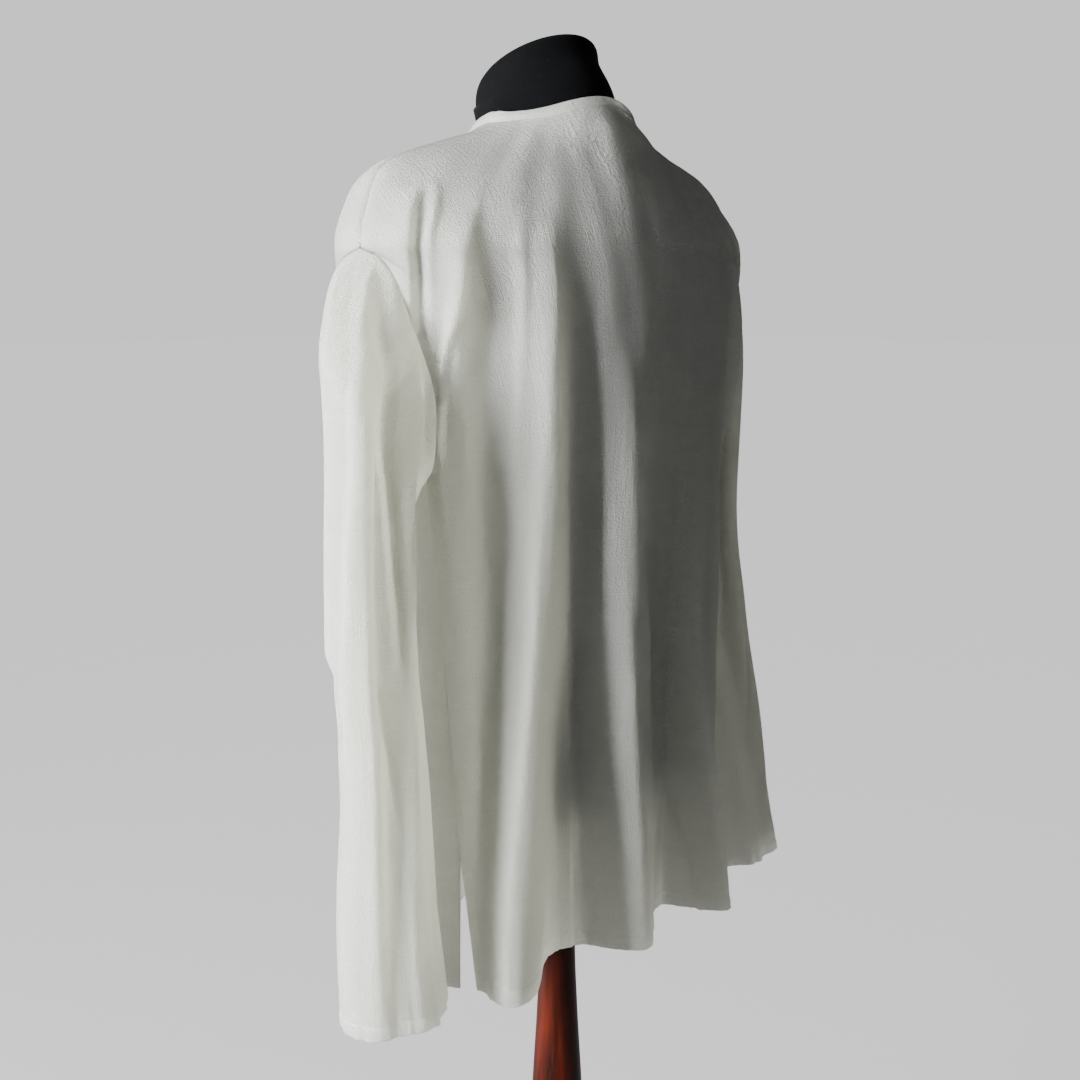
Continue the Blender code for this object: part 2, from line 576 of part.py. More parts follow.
def join(a, line_a, next_a, b, line_b, next_b, gap):
    """Marks a seam between two pieces: index lines along the seam and one step in."""
    A, B = panels[a], panels[b]
    edge = A["points"][line_a]
    into_a, into_b = A["points"][next_a], B["points"][next_b]
    along = unit(np.gradient(edge, axis=0))

    def square(v):
        v = v - along * (v * along).sum(-1, keepdims=True)
        return unit(v)

    go_a, go_b = square(into_a - edge), square(into_b - edge)
    normal = unit(np.cross(along, go_b - go_a))
    way = A["normals"][line_a] + B["normals"][line_b]
    normal = normal * (1.0 if (normal * way).sum() > 0 else -1.0)
    for i in range(len(edge)):
        total = seam_sum.setdefault(key_of(edge[i]), np.zeros(3))
        total += normal[i]
    half = np.asarray(gap, float).reshape(-1, 1) / 2 * np.ones((len(edge), 1))
    apart = unit(go_b - go_a)
    A["shift"][line_a] -= apart * half
    B["shift"][line_b] += apart * half
    for panel, line in ((A, line_a), (B, line_b)):
        for i in line:
            panel["shared"][i] = True


for side_column, step, sleeve in ((-1, -1, "sleeve_left"), (0, 1, "sleeve_right")):
    edge_column = side_column % columns
    # shoulder
    if side_column == -1:
        run = list(range(columns - 1 - SHOULDER_STEPS, columns))
    else:
        run = list(range(0, SHOULDER_STEPS + 1))
    join("back", [at("back", 0, j) for j in run], [at("back", 1, j) for j in run],
         "front", [at("front", 0, j) for j in run], [at("front", 1, j) for j in run], SEAM)
    # armhole: back branch, then front branch
    down = list(range(0, ARM_ROWS + 1))
    join("back", [at("back", i, edge_column) for i in down],
         [at("back", i, edge_column + step) for i in down],
         sleeve, [at(sleeve, 0, 2 * i) for i in down], [at(sleeve, 1, 2 * i) for i in down], SEAM)
    total = 2 * len(loop)
    join("front", [at("front", i, edge_column) for i in down],
         [at("front", i, edge_column + step) for i in down],
         sleeve, [at(sleeve, 0, (total - 2 * i) % total) for i in down],
         [at(sleeve, 1, (total - 2 * i) % total) for i in down], SEAM)
    # side seam, opening into the slit
    side = list(range(ARM_ROWS, rows))
    heights = back[ARM_ROWS:, edge_column, 2]
    gap = SEAM + SLIT_OPEN * np.clip((SLIT_TOP - heights) / SLIT_TOP, 0, 1)
    join("back", [at("back", i, edge_column) for i in side],
         [at("back", i, edge_column + step) for i in side],
         "front", [at("front", i, edge_column) for i in side],
         [at("front", i, edge_column + step) for i in side], gap)

for name, panel in panels.items():
    normals, points = panel["normals"], panel["points"]
    for i in panel["shared"]:
        normals[i] = unit(seam_sum[key_of(points[i])][None])[0]
    if name.startswith("sleeve"):                       # half-way points of the armhole's edges
        count = panel["grid"].shape[1]
        for j in range(1, count, 2):
            before, after = at(name, 0, j - 1), at(name, 0, (j + 1) % count)
            here = at(name, 0, j)
            normals[here] = (normals[before] + normals[after]) / 2
            panel["shift"][here] = (panel["shift"][before] + panel["shift"][after]) / 2

# --------------------------------------------------- neck edge and its binding
def neck_line(name):
    first = SHOULDER_STEPS
    return [at(name, 0, j) for j in range(first, first + 2 * NECK_STEPS + 1)]


back_line, front_line = neck_line("back"), neck_line("front")
ring_points = np.concatenate([panels["back"]["points"][back_line][::-1],
                              panels["front"]["points"][front_line][1:-1]])
inward = []
for name, line in (("back", back_line[::-1]), ("front", front_line[1:-1])):
    g = panels[name]
    for i in line:
        inward.append(g["points"][i + columns] - g["points"][i])
inward = np.array(inward)
closed_ring = np.concatenate([ring_points[-1:], ring_points, ring_points[:1]])
along = unit(closed_ring[2:] - closed_ring[:-2])
inward = unit(inward - along * (inward * along).sum(-1, keepdims=True))
lean = -inward + np.array([0, 0, 0.55])
lean = unit(lean - along * (lean * along).sum(-1, keepdims=True))
neck_normal = unit(np.cross(along, lean - inward))
centre = ring_points.mean(0)
out_way = ring_points - centre
out_way[:, 2] = 0.03
flip_way = np.where((neck_normal * out_way).sum(-1, keepdims=True) < 0, -1.0, 1.0)
neck_normal = neck_normal * flip_way
band_normal = unit(np.cross(along, lean)) * flip_way
for name, line, start in (("back", back_line[::-1], 0), ("front", front_line[1:-1], len(back_line))):
    panel = panels[name]
    for n, i in enumerate(line):
        k = start + n
        panel["normals"][i] = neck_normal[k] if i not in panel["shared"] else unit(
            (panel["normals"][i] + neck_normal[k])[None])[0]
        panel["shift"][i] += inward[k] * SEAM / 2
for end_back, end_front, k in ((back_line[0], front_line[0], len(back_line) - 1),
                               (back_line[-1], front_line[-1], 0)):
    panels["front"]["normals"][end_front] = panels["back"]["normals"][end_back]
    panels["front"]["shift"][end_front] += inward[k] * SEAM / 2
    neck_normal[k] = panels["back"]["normals"][end_back]

# the front's middle column parts into two down to the end of the slit
front_panel = panels["front"]
doubles = {}
extra_points, extra_normals, extra_shift = [], [], []
for i in range(slit_rows):
    source = at("front", i, MIDDLE)
    doubles[source] = len(front_panel["points"]) + len(extra_points)
    open_by = SLIT_SPREAD * (1 - (i / slit_rows) ** 2)
    extra_points.append(front_panel["points"][source])
    extra_normals.append(front_panel["normals"][source])
    extra_shift.append(front_panel["shift"][source] + np.array([-open_by, 0, 0]))
    front_panel["shift"][source] = front_panel["shift"][source] + np.array([open_by, 0, 0])
faces = front_panel["faces"].copy()
limit = columns * (slit_rows + 1)
for n, face in enumerate(faces):
    columns_used = [v % columns for v in face]
    if min(columns_used) == MIDDLE - 1 and max(face) < limit:
        faces[n] = [doubles.get(int(v), int(v)) for v in face]
front_panel["faces"] = faces
front_panel["points"] = np.concatenate([front_panel["points"], extra_points])
front_panel["normals"] = np.concatenate([front_panel["normals"], extra_normals])
front_panel["shift"] = np.concatenate([front_panel["shift"], extra_shift])


# ------------------------------------------------------------ building it all
def material(name, colour, roughness):
    made = bpy.data.materials.new(name)
    made.use_nodes = True
    shader = made.node_tree.nodes["Principled BSDF"]
    shader.inputs["Base Color"].default_value = (*colour, 1.0)
    shader.inputs["Roughness"].default_value = roughness
    made.diffuse_color = (*colour, 1.0)
    return made


for thing in list(bpy.data.objects):
    bpy.data.objects.remove(thing, do_unlink=True)

cloth = material("tunic_cloth", (0.82, 0.82, 0.79), 0.9)
form_cloth = material("form_black", (0.012, 0.012, 0.013), 0.85)
wood = material("stand_wood", (0.13, 0.028, 0.012), 0.3)
UP = np.array([0.0, 0.0, SLEEVE_END])

for name, panel in panels.items():
    outer = panel["points"] + panel["shift"]
    inner = outer - WALL * panel["normals"]
    points, faces = wall_mesh(outer, inner, panel["faces"])
    add_object(name, points + UP, faces, cloth)

# binding: an open ring that stops either side of the front slit
base_ring = ring_points + lean * SEAM * 1.3
# share of the binding's width, and distance off the cloth's outer face
BAND_PROFILE = (
    (0.0, 0.0004), (0.45, 0.0007), (0.92, 0.0004), (1.0, -0.0007), (0.92, -0.0019), (0.0, -0.0020),
)
BAND_END = 0.0024           # how far each end of the binding stops short of the slit's middle
slit_at = len(back_line) + (len(front_line) - 2) // 2
around = np.roll(np.arange(len(ring_points)), -slit_at)
around = np.concatenate([around, around[:1]])
sections = []
for n, k in enumerate(around):
    push = np.zeros(3)
    if n == 0:
        push = np.array([BAND_END, 0, 0])
    if n == len(around) - 1:
        push = np.array([-BAND_END, 0, 0])
    rows_here = []
    for share, off in BAND_PROFILE:
        normal = unit((neck_normal[k] * (1 - share) + band_normal[k] * share)[None])[0]
        rows_here.append(base_ring[k] + push + lean[k] * BAND_WIDE * share + normal * off)
    sections.append(rows_here)
sections = np.array(sections)
count, across = sections.shape[:2]
points = sections.reshape(-1, 3)
faces = []
for i in range(count - 1):
    for j in range(across):
        k = (j + 1) % across
        a, b, c, d = i * across + j, i * across + k, (i + 1) * across + k, (i + 1) * across + j
        faces += [(a, b, c), (a, c, d)]
for end, way in ((0, -1), (count - 1, 1)):
    first = end * across
    for j in range(1, across - 1):
        tri = (first, first + j, first + j + 1)
        faces.append(tri if way > 0 else tri[::-1])
add_object("neck_binding", points + UP, facing_out(points, faces), cloth)

# the dress form: under the shoulders it keeps just inside the cloth
def inside_cloth(turns, z, distance):
    """Ring of the plain body surface at height z, moved inwards along its normal."""
    def plain(level):
        radius = radius_of(turns, np.full(len(turns), level))
        return np.stack([radius * np.sin(turns), radius * np.cos(turns), np.full(len(turns), level)], -1)
    here = plain(z)
    around = np.roll(here, -1, axis=0) - np.roll(here, 1, axis=0)
    normal = unit(np.cross(plain(z + 0.001) - plain(z - 0.001), around))
    way = np.sign((normal * here * [1, 1, 0]).sum(-1, keepdims=True) + 1e-12)
    return here - normal * way * np.reshape(distance, (-1, 1))


turns = -np.linspace(0, 2 * math.pi, 40, endpoint=False)
s, c = np.sin(turns), np.cos(turns)
rings = []
for z in FORM_LEVELS:
    wide = column_of(FORM, "half_width", z)
    deep = np.where(c >= 0, column_of(FORM, "back", z), column_of(FORM, "front", z))
    radius = ((np.abs(s) / wide) ** FORM_SQUARE + (np.abs(c) / deep) ** FORM_SQUARE) ** (-1 / FORM_SQUARE)
    rings.append(np.stack([radius * s, radius * c, np.full(len(turns), z)], -1))
off_ridge = 1 - np.abs(s) ** 60


def under_cloth(z, more):
    """Ring of the form just inside the cloth, a little lower off the shoulder line and at the throat."""
    throat = THROAT_SLACK * ease((z - 0.690) / 0.040) * np.clip(-c, 0, 1) ** 2
    return inside_cloth(turns, z, WALL + CLEAR + more + FORM_SLACK * off_ridge + throat)


for z, more in SHOULDER_LEVELS:
    rings.append(under_cloth(z, more))
foot = rings[-1]
for share, z in NECK_LEVELS:
    level = min(z, 0.840)
    wide = column_of(FORM_NECK, "half_width", level)
    back_to, front_to = column_of(FORM_NECK, "back", level), column_of(FORM_NECK, "front", level)
    middle, deep = (back_to - front_to) / 2, (back_to + front_to) / 2
    size = share if z > NECK_TOP else 1.0
    ring = np.stack([size * wide * s, middle + size * deep * c, np.full(len(turns), z)], -1)
    ring[:, 2] -= NECK_TILT * (back_to - ring[:, 1]) * ease((z - 0.785) / 0.055)
    if z < NECK_FOOT:
        ring[:, :2] = foot[:, :2] * (1 - share) + ring[:, :2] * share
        lowest = foot[:, 2] + (z - SHOULDER_LEVELS[-1][0]) * 0.9
        ring[:, 2] = np.maximum(lowest, ring[:, 2] * share + foot[:, 2] * (1 - share))
    rings.append(ring)
points, faces = loft(rings)
add_object("form_torso", points + UP, facing_out(points, faces), form_cloth)

# the turned stand
for name, table, sides in (("column", COLUMN, 24), ("base", BASE, 48)):
    turns = np.linspace(0, 2 * math.pi, sides, endpoint=False)
    rings = [np.stack([r * np.cos(turns), r * np.sin(turns), np.full(sides, z)], -1)
             for z, r in zip(table["height"], table["radius"])]
    points, faces = loft(rings)
    add_object(name, points, facing_out(points, faces), wood)

for name, side in (("back", 1), ("front", -1)):
    print(name, "cloth width at the hem", round(float(angle_table(side)[1][0]), 3))
seam = np.linalg.norm(np.diff(np.concatenate([loop, loop[:1]]), axis=0), axis=1).sum()
print("armhole", round(float(seam), 3))
for table, folds in ((LEFT_SLEEVE, LEFT_SLEEVE_FOLDS), (RIGHT_SLEEVE, RIGHT_SLEEVE_FOLDS)):
    print("cuff", round(float(sleeve_section(table, folds, 0.0)[1]), 3))
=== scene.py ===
# %% [markdown]
# # A loose white tunic on a black dress form
#
# The real thing is a pull-on shirt-tunic of thin slubbed cotton: a back, a front, two straight
# sleeves and a narrow neck binding. It hangs from the shoulders of a limbless dress form, which
# stands on a turned, red-brown wooden column.
#
# Cloth this thin could be simulated, but then its folds would land where the solver puts them.
# Here each panel starts as a flat grid, as a cut piece does, and a few functions carry it to
# where it hangs. That keeps every fold where it is listed, and keeps the weave on the grid.

# %% Loading the frame
import math

import bmesh
import bpy
import numpy as np
from mathutils import Matrix, Vector


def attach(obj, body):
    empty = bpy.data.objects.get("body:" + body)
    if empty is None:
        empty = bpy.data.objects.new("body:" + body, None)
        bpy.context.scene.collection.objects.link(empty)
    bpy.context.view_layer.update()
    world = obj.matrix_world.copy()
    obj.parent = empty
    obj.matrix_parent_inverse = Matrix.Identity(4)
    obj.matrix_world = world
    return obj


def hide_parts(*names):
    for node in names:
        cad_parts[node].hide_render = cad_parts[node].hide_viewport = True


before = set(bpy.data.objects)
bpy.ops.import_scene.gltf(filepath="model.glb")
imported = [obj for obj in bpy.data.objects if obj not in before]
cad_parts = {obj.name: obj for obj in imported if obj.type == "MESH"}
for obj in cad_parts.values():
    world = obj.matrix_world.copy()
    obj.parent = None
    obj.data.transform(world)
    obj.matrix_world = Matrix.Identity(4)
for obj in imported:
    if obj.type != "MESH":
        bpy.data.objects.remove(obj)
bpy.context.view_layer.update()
print("the frame holds", len(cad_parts), "nodes")

# %% [markdown]
# ## Sizes
# The frame's solids give the big sizes. Heights in the tables below are measured from the level
# of the sleeve ends, because that is where a dressmaker would hold the tape.

# %% Named sizes
SLEEVE_END = 0.680           # height of the sleeve ends over the floor
UP = np.array([0.0, 0.0, SLEEVE_END])
CLOTH = 0.0007               # thickness of the cloth
ARMHOLE_TOP, ARMHOLE_END = 0.658, 0.462
SLIT_TOP, SLIT_OPEN = 0.122, 0.016
FOLD_EDGE = 0.14             # angle over which folds fade towards a panel's edge
FADE_TOP = 0.600             # above this height the flutes fade out along one straight line
SETTLE = 0.150               # drop over which the cloth settles below the shoulder
NECK_HALF, NECK_BACK, NECK_FRONT = 0.0815, 0.062, 0.108
NECK_SHARE = 0.285           # share of a panel's half width that the neck takes
NECK_SLIT = 0.150            # length of the front neck slit
HEM_TURN, CUFF_TURN, SLIT_TURN = 0.015, 0.012, 0.009
BAND_WIDE = 0.009            # height of the neck binding

# each light: azimuth, height, distance, size, power, and what it faces
WINDOW = (86.5, 1.45, 2.1, (0.7, 0.9), 345.0, (0.05, 0.05, 1.03))
FRONT_LIGHT = (36.0, 0.55, 2.4, (1.6, 1.2), 80.0, (0.0, 0.0, 0.8))
GLOW_LOW, GLOW_HIGH = 0.17, 0.26      # what the surroundings give, away from the window and by it
FLOOR_GLOW, BACKDROP = 0.24, 0.93     # how bright the paper is as a light, and as it is seen

# %% [markdown]
# ## The shape of the body
# A garment's body is easiest to think of as level sections, like the rings of a barrel. Each row
# gives one section's half width and its depth behind and in front of the shoulder line, and how
# square its corners are. A smooth curve runs through the rows.

# %% Sections of the body
BODY = dict(
    height=(0.812, 0.800, 0.786, 0.773, 0.764, 0.756, 0.748, 0.740, 0.731, 0.718, 0.700,
            0.664, 0.600, 0.520, 0.460, 0.350, 0.200, 0.100, 0.000, -0.03),
    half_width=(0.018, 0.041, 0.063, 0.080, 0.099, 0.126, 0.155, 0.181, 0.203, 0.218, 0.2265,
                0.236, 0.229, 0.213, 0.203, 0.196, 0.193, 0.192, 0.192, 0.192),
    back=(0.042, 0.052, 0.063, 0.071, 0.076, 0.078, 0.081, 0.085, 0.089, 0.096, 0.103,
          0.111, 0.116, 0.118, 0.117, 0.114, 0.108, 0.103, 0.098, 0.097),
    front=(0.050, 0.060, 0.069, 0.075, 0.080, 0.086, 0.093, 0.100, 0.107, 0.114, 0.119,
           0.125, 0.129, 0.130, 0.129, 0.126, 0.121, 0.116, 0.112, 0.111),
    back_power=(2.0, 2.0, 2.0, 1.9, 1.7, 1.5, 1.38, 1.34, 1.36, 1.44, 1.60,
                1.85, 2.05, 2.1, 2.2, 2.4, 2.6, 2.8, 3.0, 3.0),
    front_power=(2.0, 2.0, 2.0, 1.9, 1.6, 1.5, 1.5, 1.6, 1.8, 2.05, 2.2,
                 2.3, 2.25, 2.2, 2.3, 2.4, 2.6, 2.8, 3.0, 3.0),
)
ARMHOLE = dict(
    height=(0.658, 0.655, 0.650, 0.642, 0.620, 0.590, 0.560, 0.530, 0.500, 0.480, 0.468, 0.462),
    back=(0.000, 0.010, 0.019, 0.027, 0.036, 0.042, 0.047, 0.050, 0.048, 0.044, 0.039, 0.035),
    front=(0.000, -0.011, -0.024, -0.036, -0.051, -0.054, -0.048, -0.033, -0.012, 0.008, 0.024,
           0.035),
)
SIDE = dict(height=(0.462, 0.350, 0.200, 0.100, -0.03), behind=(0.035, 0.042, 0.050, 0.056, 0.062))

# %% [markdown]
# Two small helpers do most of the work: a curve that passes through a table's rows without
# overshooting them, and an ease that starts and ends gently, as cloth bends.

# %% Curves through the tables
def smooth(xs, ys, x):
    """A smooth curve through table points that never overshoots them."""
    xs, ys = np.asarray(xs, float), np.asarray(ys, float)
    if xs[0] > xs[-1]:
        xs, ys = xs[::-1], ys[::-1]
    step = np.diff(xs)
    rise = np.diff(ys) / step
    slope = np.zeros_like(ys)
    same = rise[:-1] * rise[1:] > 0
    a, b = 2 * step[1:] + step[:-1], step[1:] + 2 * step[:-1]
    safe_a, safe_b = np.where(same, rise[:-1], 1.0), np.where(same, rise[1:], 1.0)
    slope[1:-1] = np.where(same, (a + b) / (a / safe_a + b / safe_b), 0.0)
    slope[0], slope[-1] = rise[0], rise[-1]
    x = np.clip(x, xs[0], xs[-1])
    i = np.clip(np.searchsorted(xs, x, side="right") - 1, 0, len(step) - 1)
    t = (x - xs[i]) / step[i]
    return ((1 + 2 * t) * (1 - t) ** 2 * ys[i] + t * (1 - t) ** 2 * step[i] * slope[i]
            + t * t * (3 - 2 * t) * ys[i + 1] + t * t * (t - 1) * step[i] * slope[i + 1])


def column_of(table, name, z):
    return smooth(table["height"], table[name], z)


def ease(t):
    t = np.clip(t, 0.0, 1.0)
    return t * t * (3 - 2 * t)


def bump(gap, width):
    """A soft hump: 1 where the gap is nothing, 0 from the width on."""
    return np.where(np.abs(gap) < width, (1 + np.cos(np.pi * gap / width)) / 2, 0.0)


def unit(v):
    return v / np.maximum(np.linalg.norm(v, axis=-1, keepdims=True), 1e-12)


def run_along(points):
    """Metres from a line's first point to each of its points."""
    return np.concatenate([[0.0], np.cumsum(np.linalg.norm(np.diff(points, axis=0), axis=1))])


def down_from_top(grid):
    """Metres of cloth from a grid's top edge down to each of its points."""
    return np.cumsum(np.linalg.norm(np.diff(grid, axis=0, prepend=grid[:1]), axis=2), axis=0)


def read_line(at, run, values):
    """Points of a line, read where its length is at."""
    return np.stack([np.interp(at, run, values[:, k]) for k in range(3)], -1)


def read_table(table, i, j):
    """Reads a table between its entries, at broken row and column numbers."""
    a, b = i.astype(int), j.astype(int)
    u, v = (t.reshape(t.shape + (1,) * (table.ndim - 2)) for t in (i - a, j - b))
    return ((1 - u) * ((1 - v) * table[a, b] + v * table[a, b + 1])
            + u * ((1 - v) * table[a + 1, b] + v * table[a + 1, b + 1]))


# %% [markdown]
# ## Flutes of the back and front
# Below the shoulder blades the cloth falls in flutes that widen towards the hem. Each row is one
# crest or trough: where it lies at three heights, how far it stands out there, and how steeply
# the cloth turns from it to the next one. A steep crest gives the hard shadow edge of a fold
# that hangs in light from one side.

# %% Crests and troughs
FOLD_HEIGHTS = (0.000, 0.330, 0.600, 0.700)
BACK_FOLDS = (
    # name           x: hem   middle  chest | out: hem   middle   chest | steep
    ("side_left",    0.1900, 0.1960, 0.2100,  0.0000,  0.0000,  0.0000, 1.0),
    ("crest_side",   0.1880, 0.1900, 0.1880,  0.0000,  0.0040,  0.0080, 1.0),
    ("trough_a",     0.1840, 0.1640, 0.1600,  0.0020, -0.0140, -0.0050, 1.0),
    ("flute_1",      0.1560, 0.1280, 0.1120,  0.0430,  0.0150,  0.0040, 1.5),
    ("trough_b",     0.0500, 0.0700, 0.0830, -0.0370, -0.0160, -0.0030, 1.0),
    ("flute_2",     -0.0030, 0.0260, 0.0320,  0.0210,  0.0100,  0.0010, 1.4),
    ("trough_c",    -0.0970,-0.0450,-0.0300, -0.0350, -0.0110, -0.0010, 1.0),
    ("flute_3",     -0.1240,-0.0740,-0.0880,  0.0280,  0.0090,  0.0010, 1.2),
    ("trough_d",    -0.1660,-0.1250,-0.1450, -0.0190, -0.0110, -0.0030, 1.0),
    ("side_right",  -0.1900,-0.1960,-0.2100,  0.0000,  0.0000,  0.0000, 1.0),
)
FRONT_FOLDS = (
    ("side_left",    0.1900, 0.2000, 0.2100,  0.0000,  0.0000,  0.0000, 1.0),
    ("trough_a",     0.1500, 0.1560, 0.1600, -0.0130, -0.0050, -0.0030, 1.0),
    ("flute_1",      0.1060, 0.1080, 0.1100,  0.0110,  0.0050,  0.0020, 1.3),
    ("trough_b",     0.0500, 0.0560, 0.0650, -0.0150, -0.0060, -0.0020, 1.0),
    ("flute_2",      0.0020, 0.0040, 0.0080,  0.0080,  0.0040,  0.0010, 1.2),
    ("trough_c",    -0.0540,-0.0500,-0.0600, -0.0130, -0.0050, -0.0020, 1.0),
    ("flute_3",     -0.1080,-0.1010,-0.1080,  0.0120,  0.0050,  0.0020, 1.3),
    ("trough_d",    -0.1540,-0.1500,-0.1580, -0.0110, -0.0050, -0.0030, 1.0),
    ("side_right",  -0.1900,-0.2000,-0.2100,  0.0000,  0.0000,  0.0000, 1.0),
)


def fold_out(x, z, folds):
    """How far the cloth stands out from the plain section at x and height z."""
    hem, mid, chest, top = FOLD_HEIGHTS
    where = [smooth((hem, mid, chest), row[1:4], np.clip(z, hem, chest)) for row in folds]
    how = [smooth((hem, mid, chest, top), (*row[4:7], 0.0), np.clip(z, hem, top)) for row in folds]
    result = how[0]
    for k in range(len(folds) - 1):
        t = np.clip((x - where[k]) / np.minimum(where[k + 1] - where[k], -1e-4), 0, 1)
        steep = 1 + (folds[k][7] - 1) * ease((0.62 - z) / 0.2)
        turned = 1 - (1 - t) ** steep
        part = how[k] + (how[k + 1] - how[k]) * (1 - np.cos(np.pi * turned)) / 2
        result = np.where(t > 0, part, result)
    return result


# %% [markdown]
# ## From a level section to a point of cloth
# An angle round the body, 0 behind and a quarter turn at the wearer's left, picks a point of a
# section. The folds then move it out along the section's own normal, and fade towards the seams.

# %% Points of the body
def section_sizes(behind, z):
    """Half width, depth and squareness of the body behind or in front of the shoulder line."""
    deep, power = (np.where(behind, column_of(BODY, "back" + what, z),
                            column_of(BODY, "front" + what, z))
                   for what in ("", "_power"))
    return column_of(BODY, "half_width", z), deep, power


def radius_of(angle, z):
    wide, deep, power = section_sizes(np.cos(angle) >= 0, z)
    return ((np.abs(np.sin(angle)) / wide) ** power
            + (np.abs(np.cos(angle)) / deep) ** power) ** (-1 / power)


def angle_of(x, z, side):
    """Angle round the body of the base point x of the back (side 1) or the front (side -1)."""
    wide, deep, power = section_sizes(side > 0, z)
    share = np.clip(np.abs(x) / wide, 0, 1)
    return np.arctan2(x, side * deep * (1 - share ** power) ** (1 / power))


def edge_angle(y, z):
    """Angle of the left side's base point that has this y."""
    wide, deep, power = section_sizes(y >= 0, z)
    x = wide * (1 - np.clip(np.abs(y) / deep, 0, 1) ** power) ** (1 / power)
    return np.arctan2(x, y)


def armhole_depth(z, side):
    return column_of(ARMHOLE, "back" if side > 0 else "front", z)


def edge_of(z, side):
    """Angle of a panel's left edge at height z: armhole first, then side seam."""
    z = np.asarray(z, float)
    sewn = np.where(z > ARMHOLE_END, armhole_depth(z, side), column_of(SIDE, "behind", z))
    return edge_angle(np.where(z >= ARMHOLE_TOP, 0.0, sewn), z)


def fade_edge(z, side):
    """Angle where the flutes have faded out: the panel's edge, but not round the armhole's top."""
    return np.where(z > FADE_TOP, edge_angle(armhole_depth(FADE_TOP, side) + 0 * z, z),
                    edge_of(z, side))


def body_point(angle, z, side):
    """A point of the tunic's body, with its flutes; side 1 is the back panel."""
    angle, z = np.broadcast_arrays(np.asarray(angle, float), np.asarray(z, float))
    wide, deep, power = section_sizes(np.cos(angle) >= 0, z)
    radius = radius_of(angle, z)
    x, y = radius * np.sin(angle), radius * np.cos(angle)
    nx = np.sign(x) * (np.abs(x) / wide) ** (power - 1) / wide
    ny = np.sign(y) * (np.abs(y) / deep) ** (power - 1) / deep
    length = np.maximum(np.hypot(nx, ny), 1e-9)
    turn = np.abs(angle) if side > 0 else np.pi - np.abs(np.mod(angle, 2 * np.pi) - np.pi)
    room = (fade_edge(z, side) - turn) * side
    out = fold_out(x, z, BACK_FOLDS if side > 0 else FRONT_FOLDS) * ease(room / FOLD_EDGE)
    return np.stack([x + out * nx / length, y + out * ny / length, z], -1)


# %% [markdown]
# ## Cutting the cloth evenly
# A woven panel has the same width of cloth between any two of its warp threads, whether it lies
# flat or dives into a fold. So each level is measured along its folds and cut into equal widths.
# That is what keeps the weave from stretching on a flute.

# %% Equal widths of cloth
SHARES = np.linspace(-1.0, 1.0, 361)
LEVELS = np.concatenate([np.linspace(-0.03, ARMHOLE_END, 42),
                         np.linspace(ARMHOLE_END, ARMHOLE_TOP, 30)[1:]])


def angle_table(side):
    """Angles that cut a panel into equal widths of cloth, level by level, and those widths."""
    rows, widths = [], []
    for z in LEVELS:
        edge = edge_of(z, side)
        turns = np.linspace(-edge if side > 0 else 2 * np.pi - edge, edge, 961)
        run = run_along(body_point(turns, z, side))
        widths.append(run[-1])
        rows.append(np.interp((SHARES + 1) / 2 * run[-1], run, turns))
    return np.array(rows), np.array(widths)


def lookup(table, s, z):
    """Reads a table over LEVELS and SHARES between its entries."""
    i = np.clip(np.interp(z, LEVELS, np.arange(len(LEVELS))), 0, len(LEVELS) - 1.000001)
    j = np.clip((s + 1) / 2 * (len(SHARES) - 1), 0, len(SHARES) - 1.000001)
    return read_table(table, i, j)


def neck_edge(share, side):
    """Neck edge of a panel, share -1 to 1 from one shoulder to the other."""
    turn = np.asarray(share, float) * math.pi / 2
    x = NECK_HALF * np.sin(turn)
    y = side * (NECK_BACK if side > 0 else NECK_FRONT) * np.cos(turn)
    low, high = np.full(x.shape, 0.66), np.full(x.shape, 0.811)
    for _ in range(40):
        z = (low + high) / 2
        wide, deep, power = section_sizes(side > 0, z)
        inside = (np.abs(x) / wide) ** power + (np.clip(side * y, 0, 1) / deep) ** power < 1
        low, high = np.where(inside, z, low), np.where(inside, high, z)
    return np.stack([x, y, z], -1)


def shoulder_line(share):
    """Shoulder seam from the neck (0) to the armhole (1): height and half width."""
    z = np.linspace(float(neck_edge(np.array([1.0]), 1)[0, 2]), ARMHOLE_TOP, 400)
    run = run_along(np.stack([column_of(BODY, "half_width", z), z], -1))
    at = np.interp(share, run / run[-1], z)
    return at, column_of(BODY, "half_width", at)


def armhole_rows(side, count):
    """Heights that cut one side of the armhole into equal lengths of seam."""
    middle, half = (ARMHOLE_TOP + ARMHOLE_END) / 2, (ARMHOLE_TOP - ARMHOLE_END) / 2
    z = middle + half * np.cos(np.linspace(0, math.pi, 1601))
    run = run_along(body_point(edge_of(z, side), z, side))
    return np.interp(np.linspace(0, run[-1], count + 1), run, z)


# %% [markdown]
# ## A whole panel
# Rows run from the top edge to the hem, and columns from the wearer's right to the left. The last
# rows before the hem are close together and level with it, so that the turned hem and its line
# of stitches can be shaped.

# %% Rows and columns of a panel
NECK_STEPS, SHOULDER_STEPS, ARM_ROWS, SIDE_STEPS = 28, 100, 62, 104
HEM_ROWS = np.array([0.018, 0.0166, 0.0156, 0.015, 0.0144, 0.0134, 0.0105, 0.007, 0.0035, 0.0012,
                     0.0])
SIDE_ROWS = np.concatenate([np.linspace(ARMHOLE_END, HEM_ROWS[0], SIDE_STEPS)[1:-1], HEM_ROWS])
shares = np.concatenate([
    -1 + (1 - NECK_SHARE) * np.arange(SHOULDER_STEPS) / SHOULDER_STEPS,
    NECK_SHARE * np.arange(-NECK_STEPS, NECK_STEPS + 1) / NECK_STEPS,
    NECK_SHARE + (1 - NECK_SHARE) * np.arange(1, SHOULDER_STEPS + 1) / SHOULDER_STEPS,
])


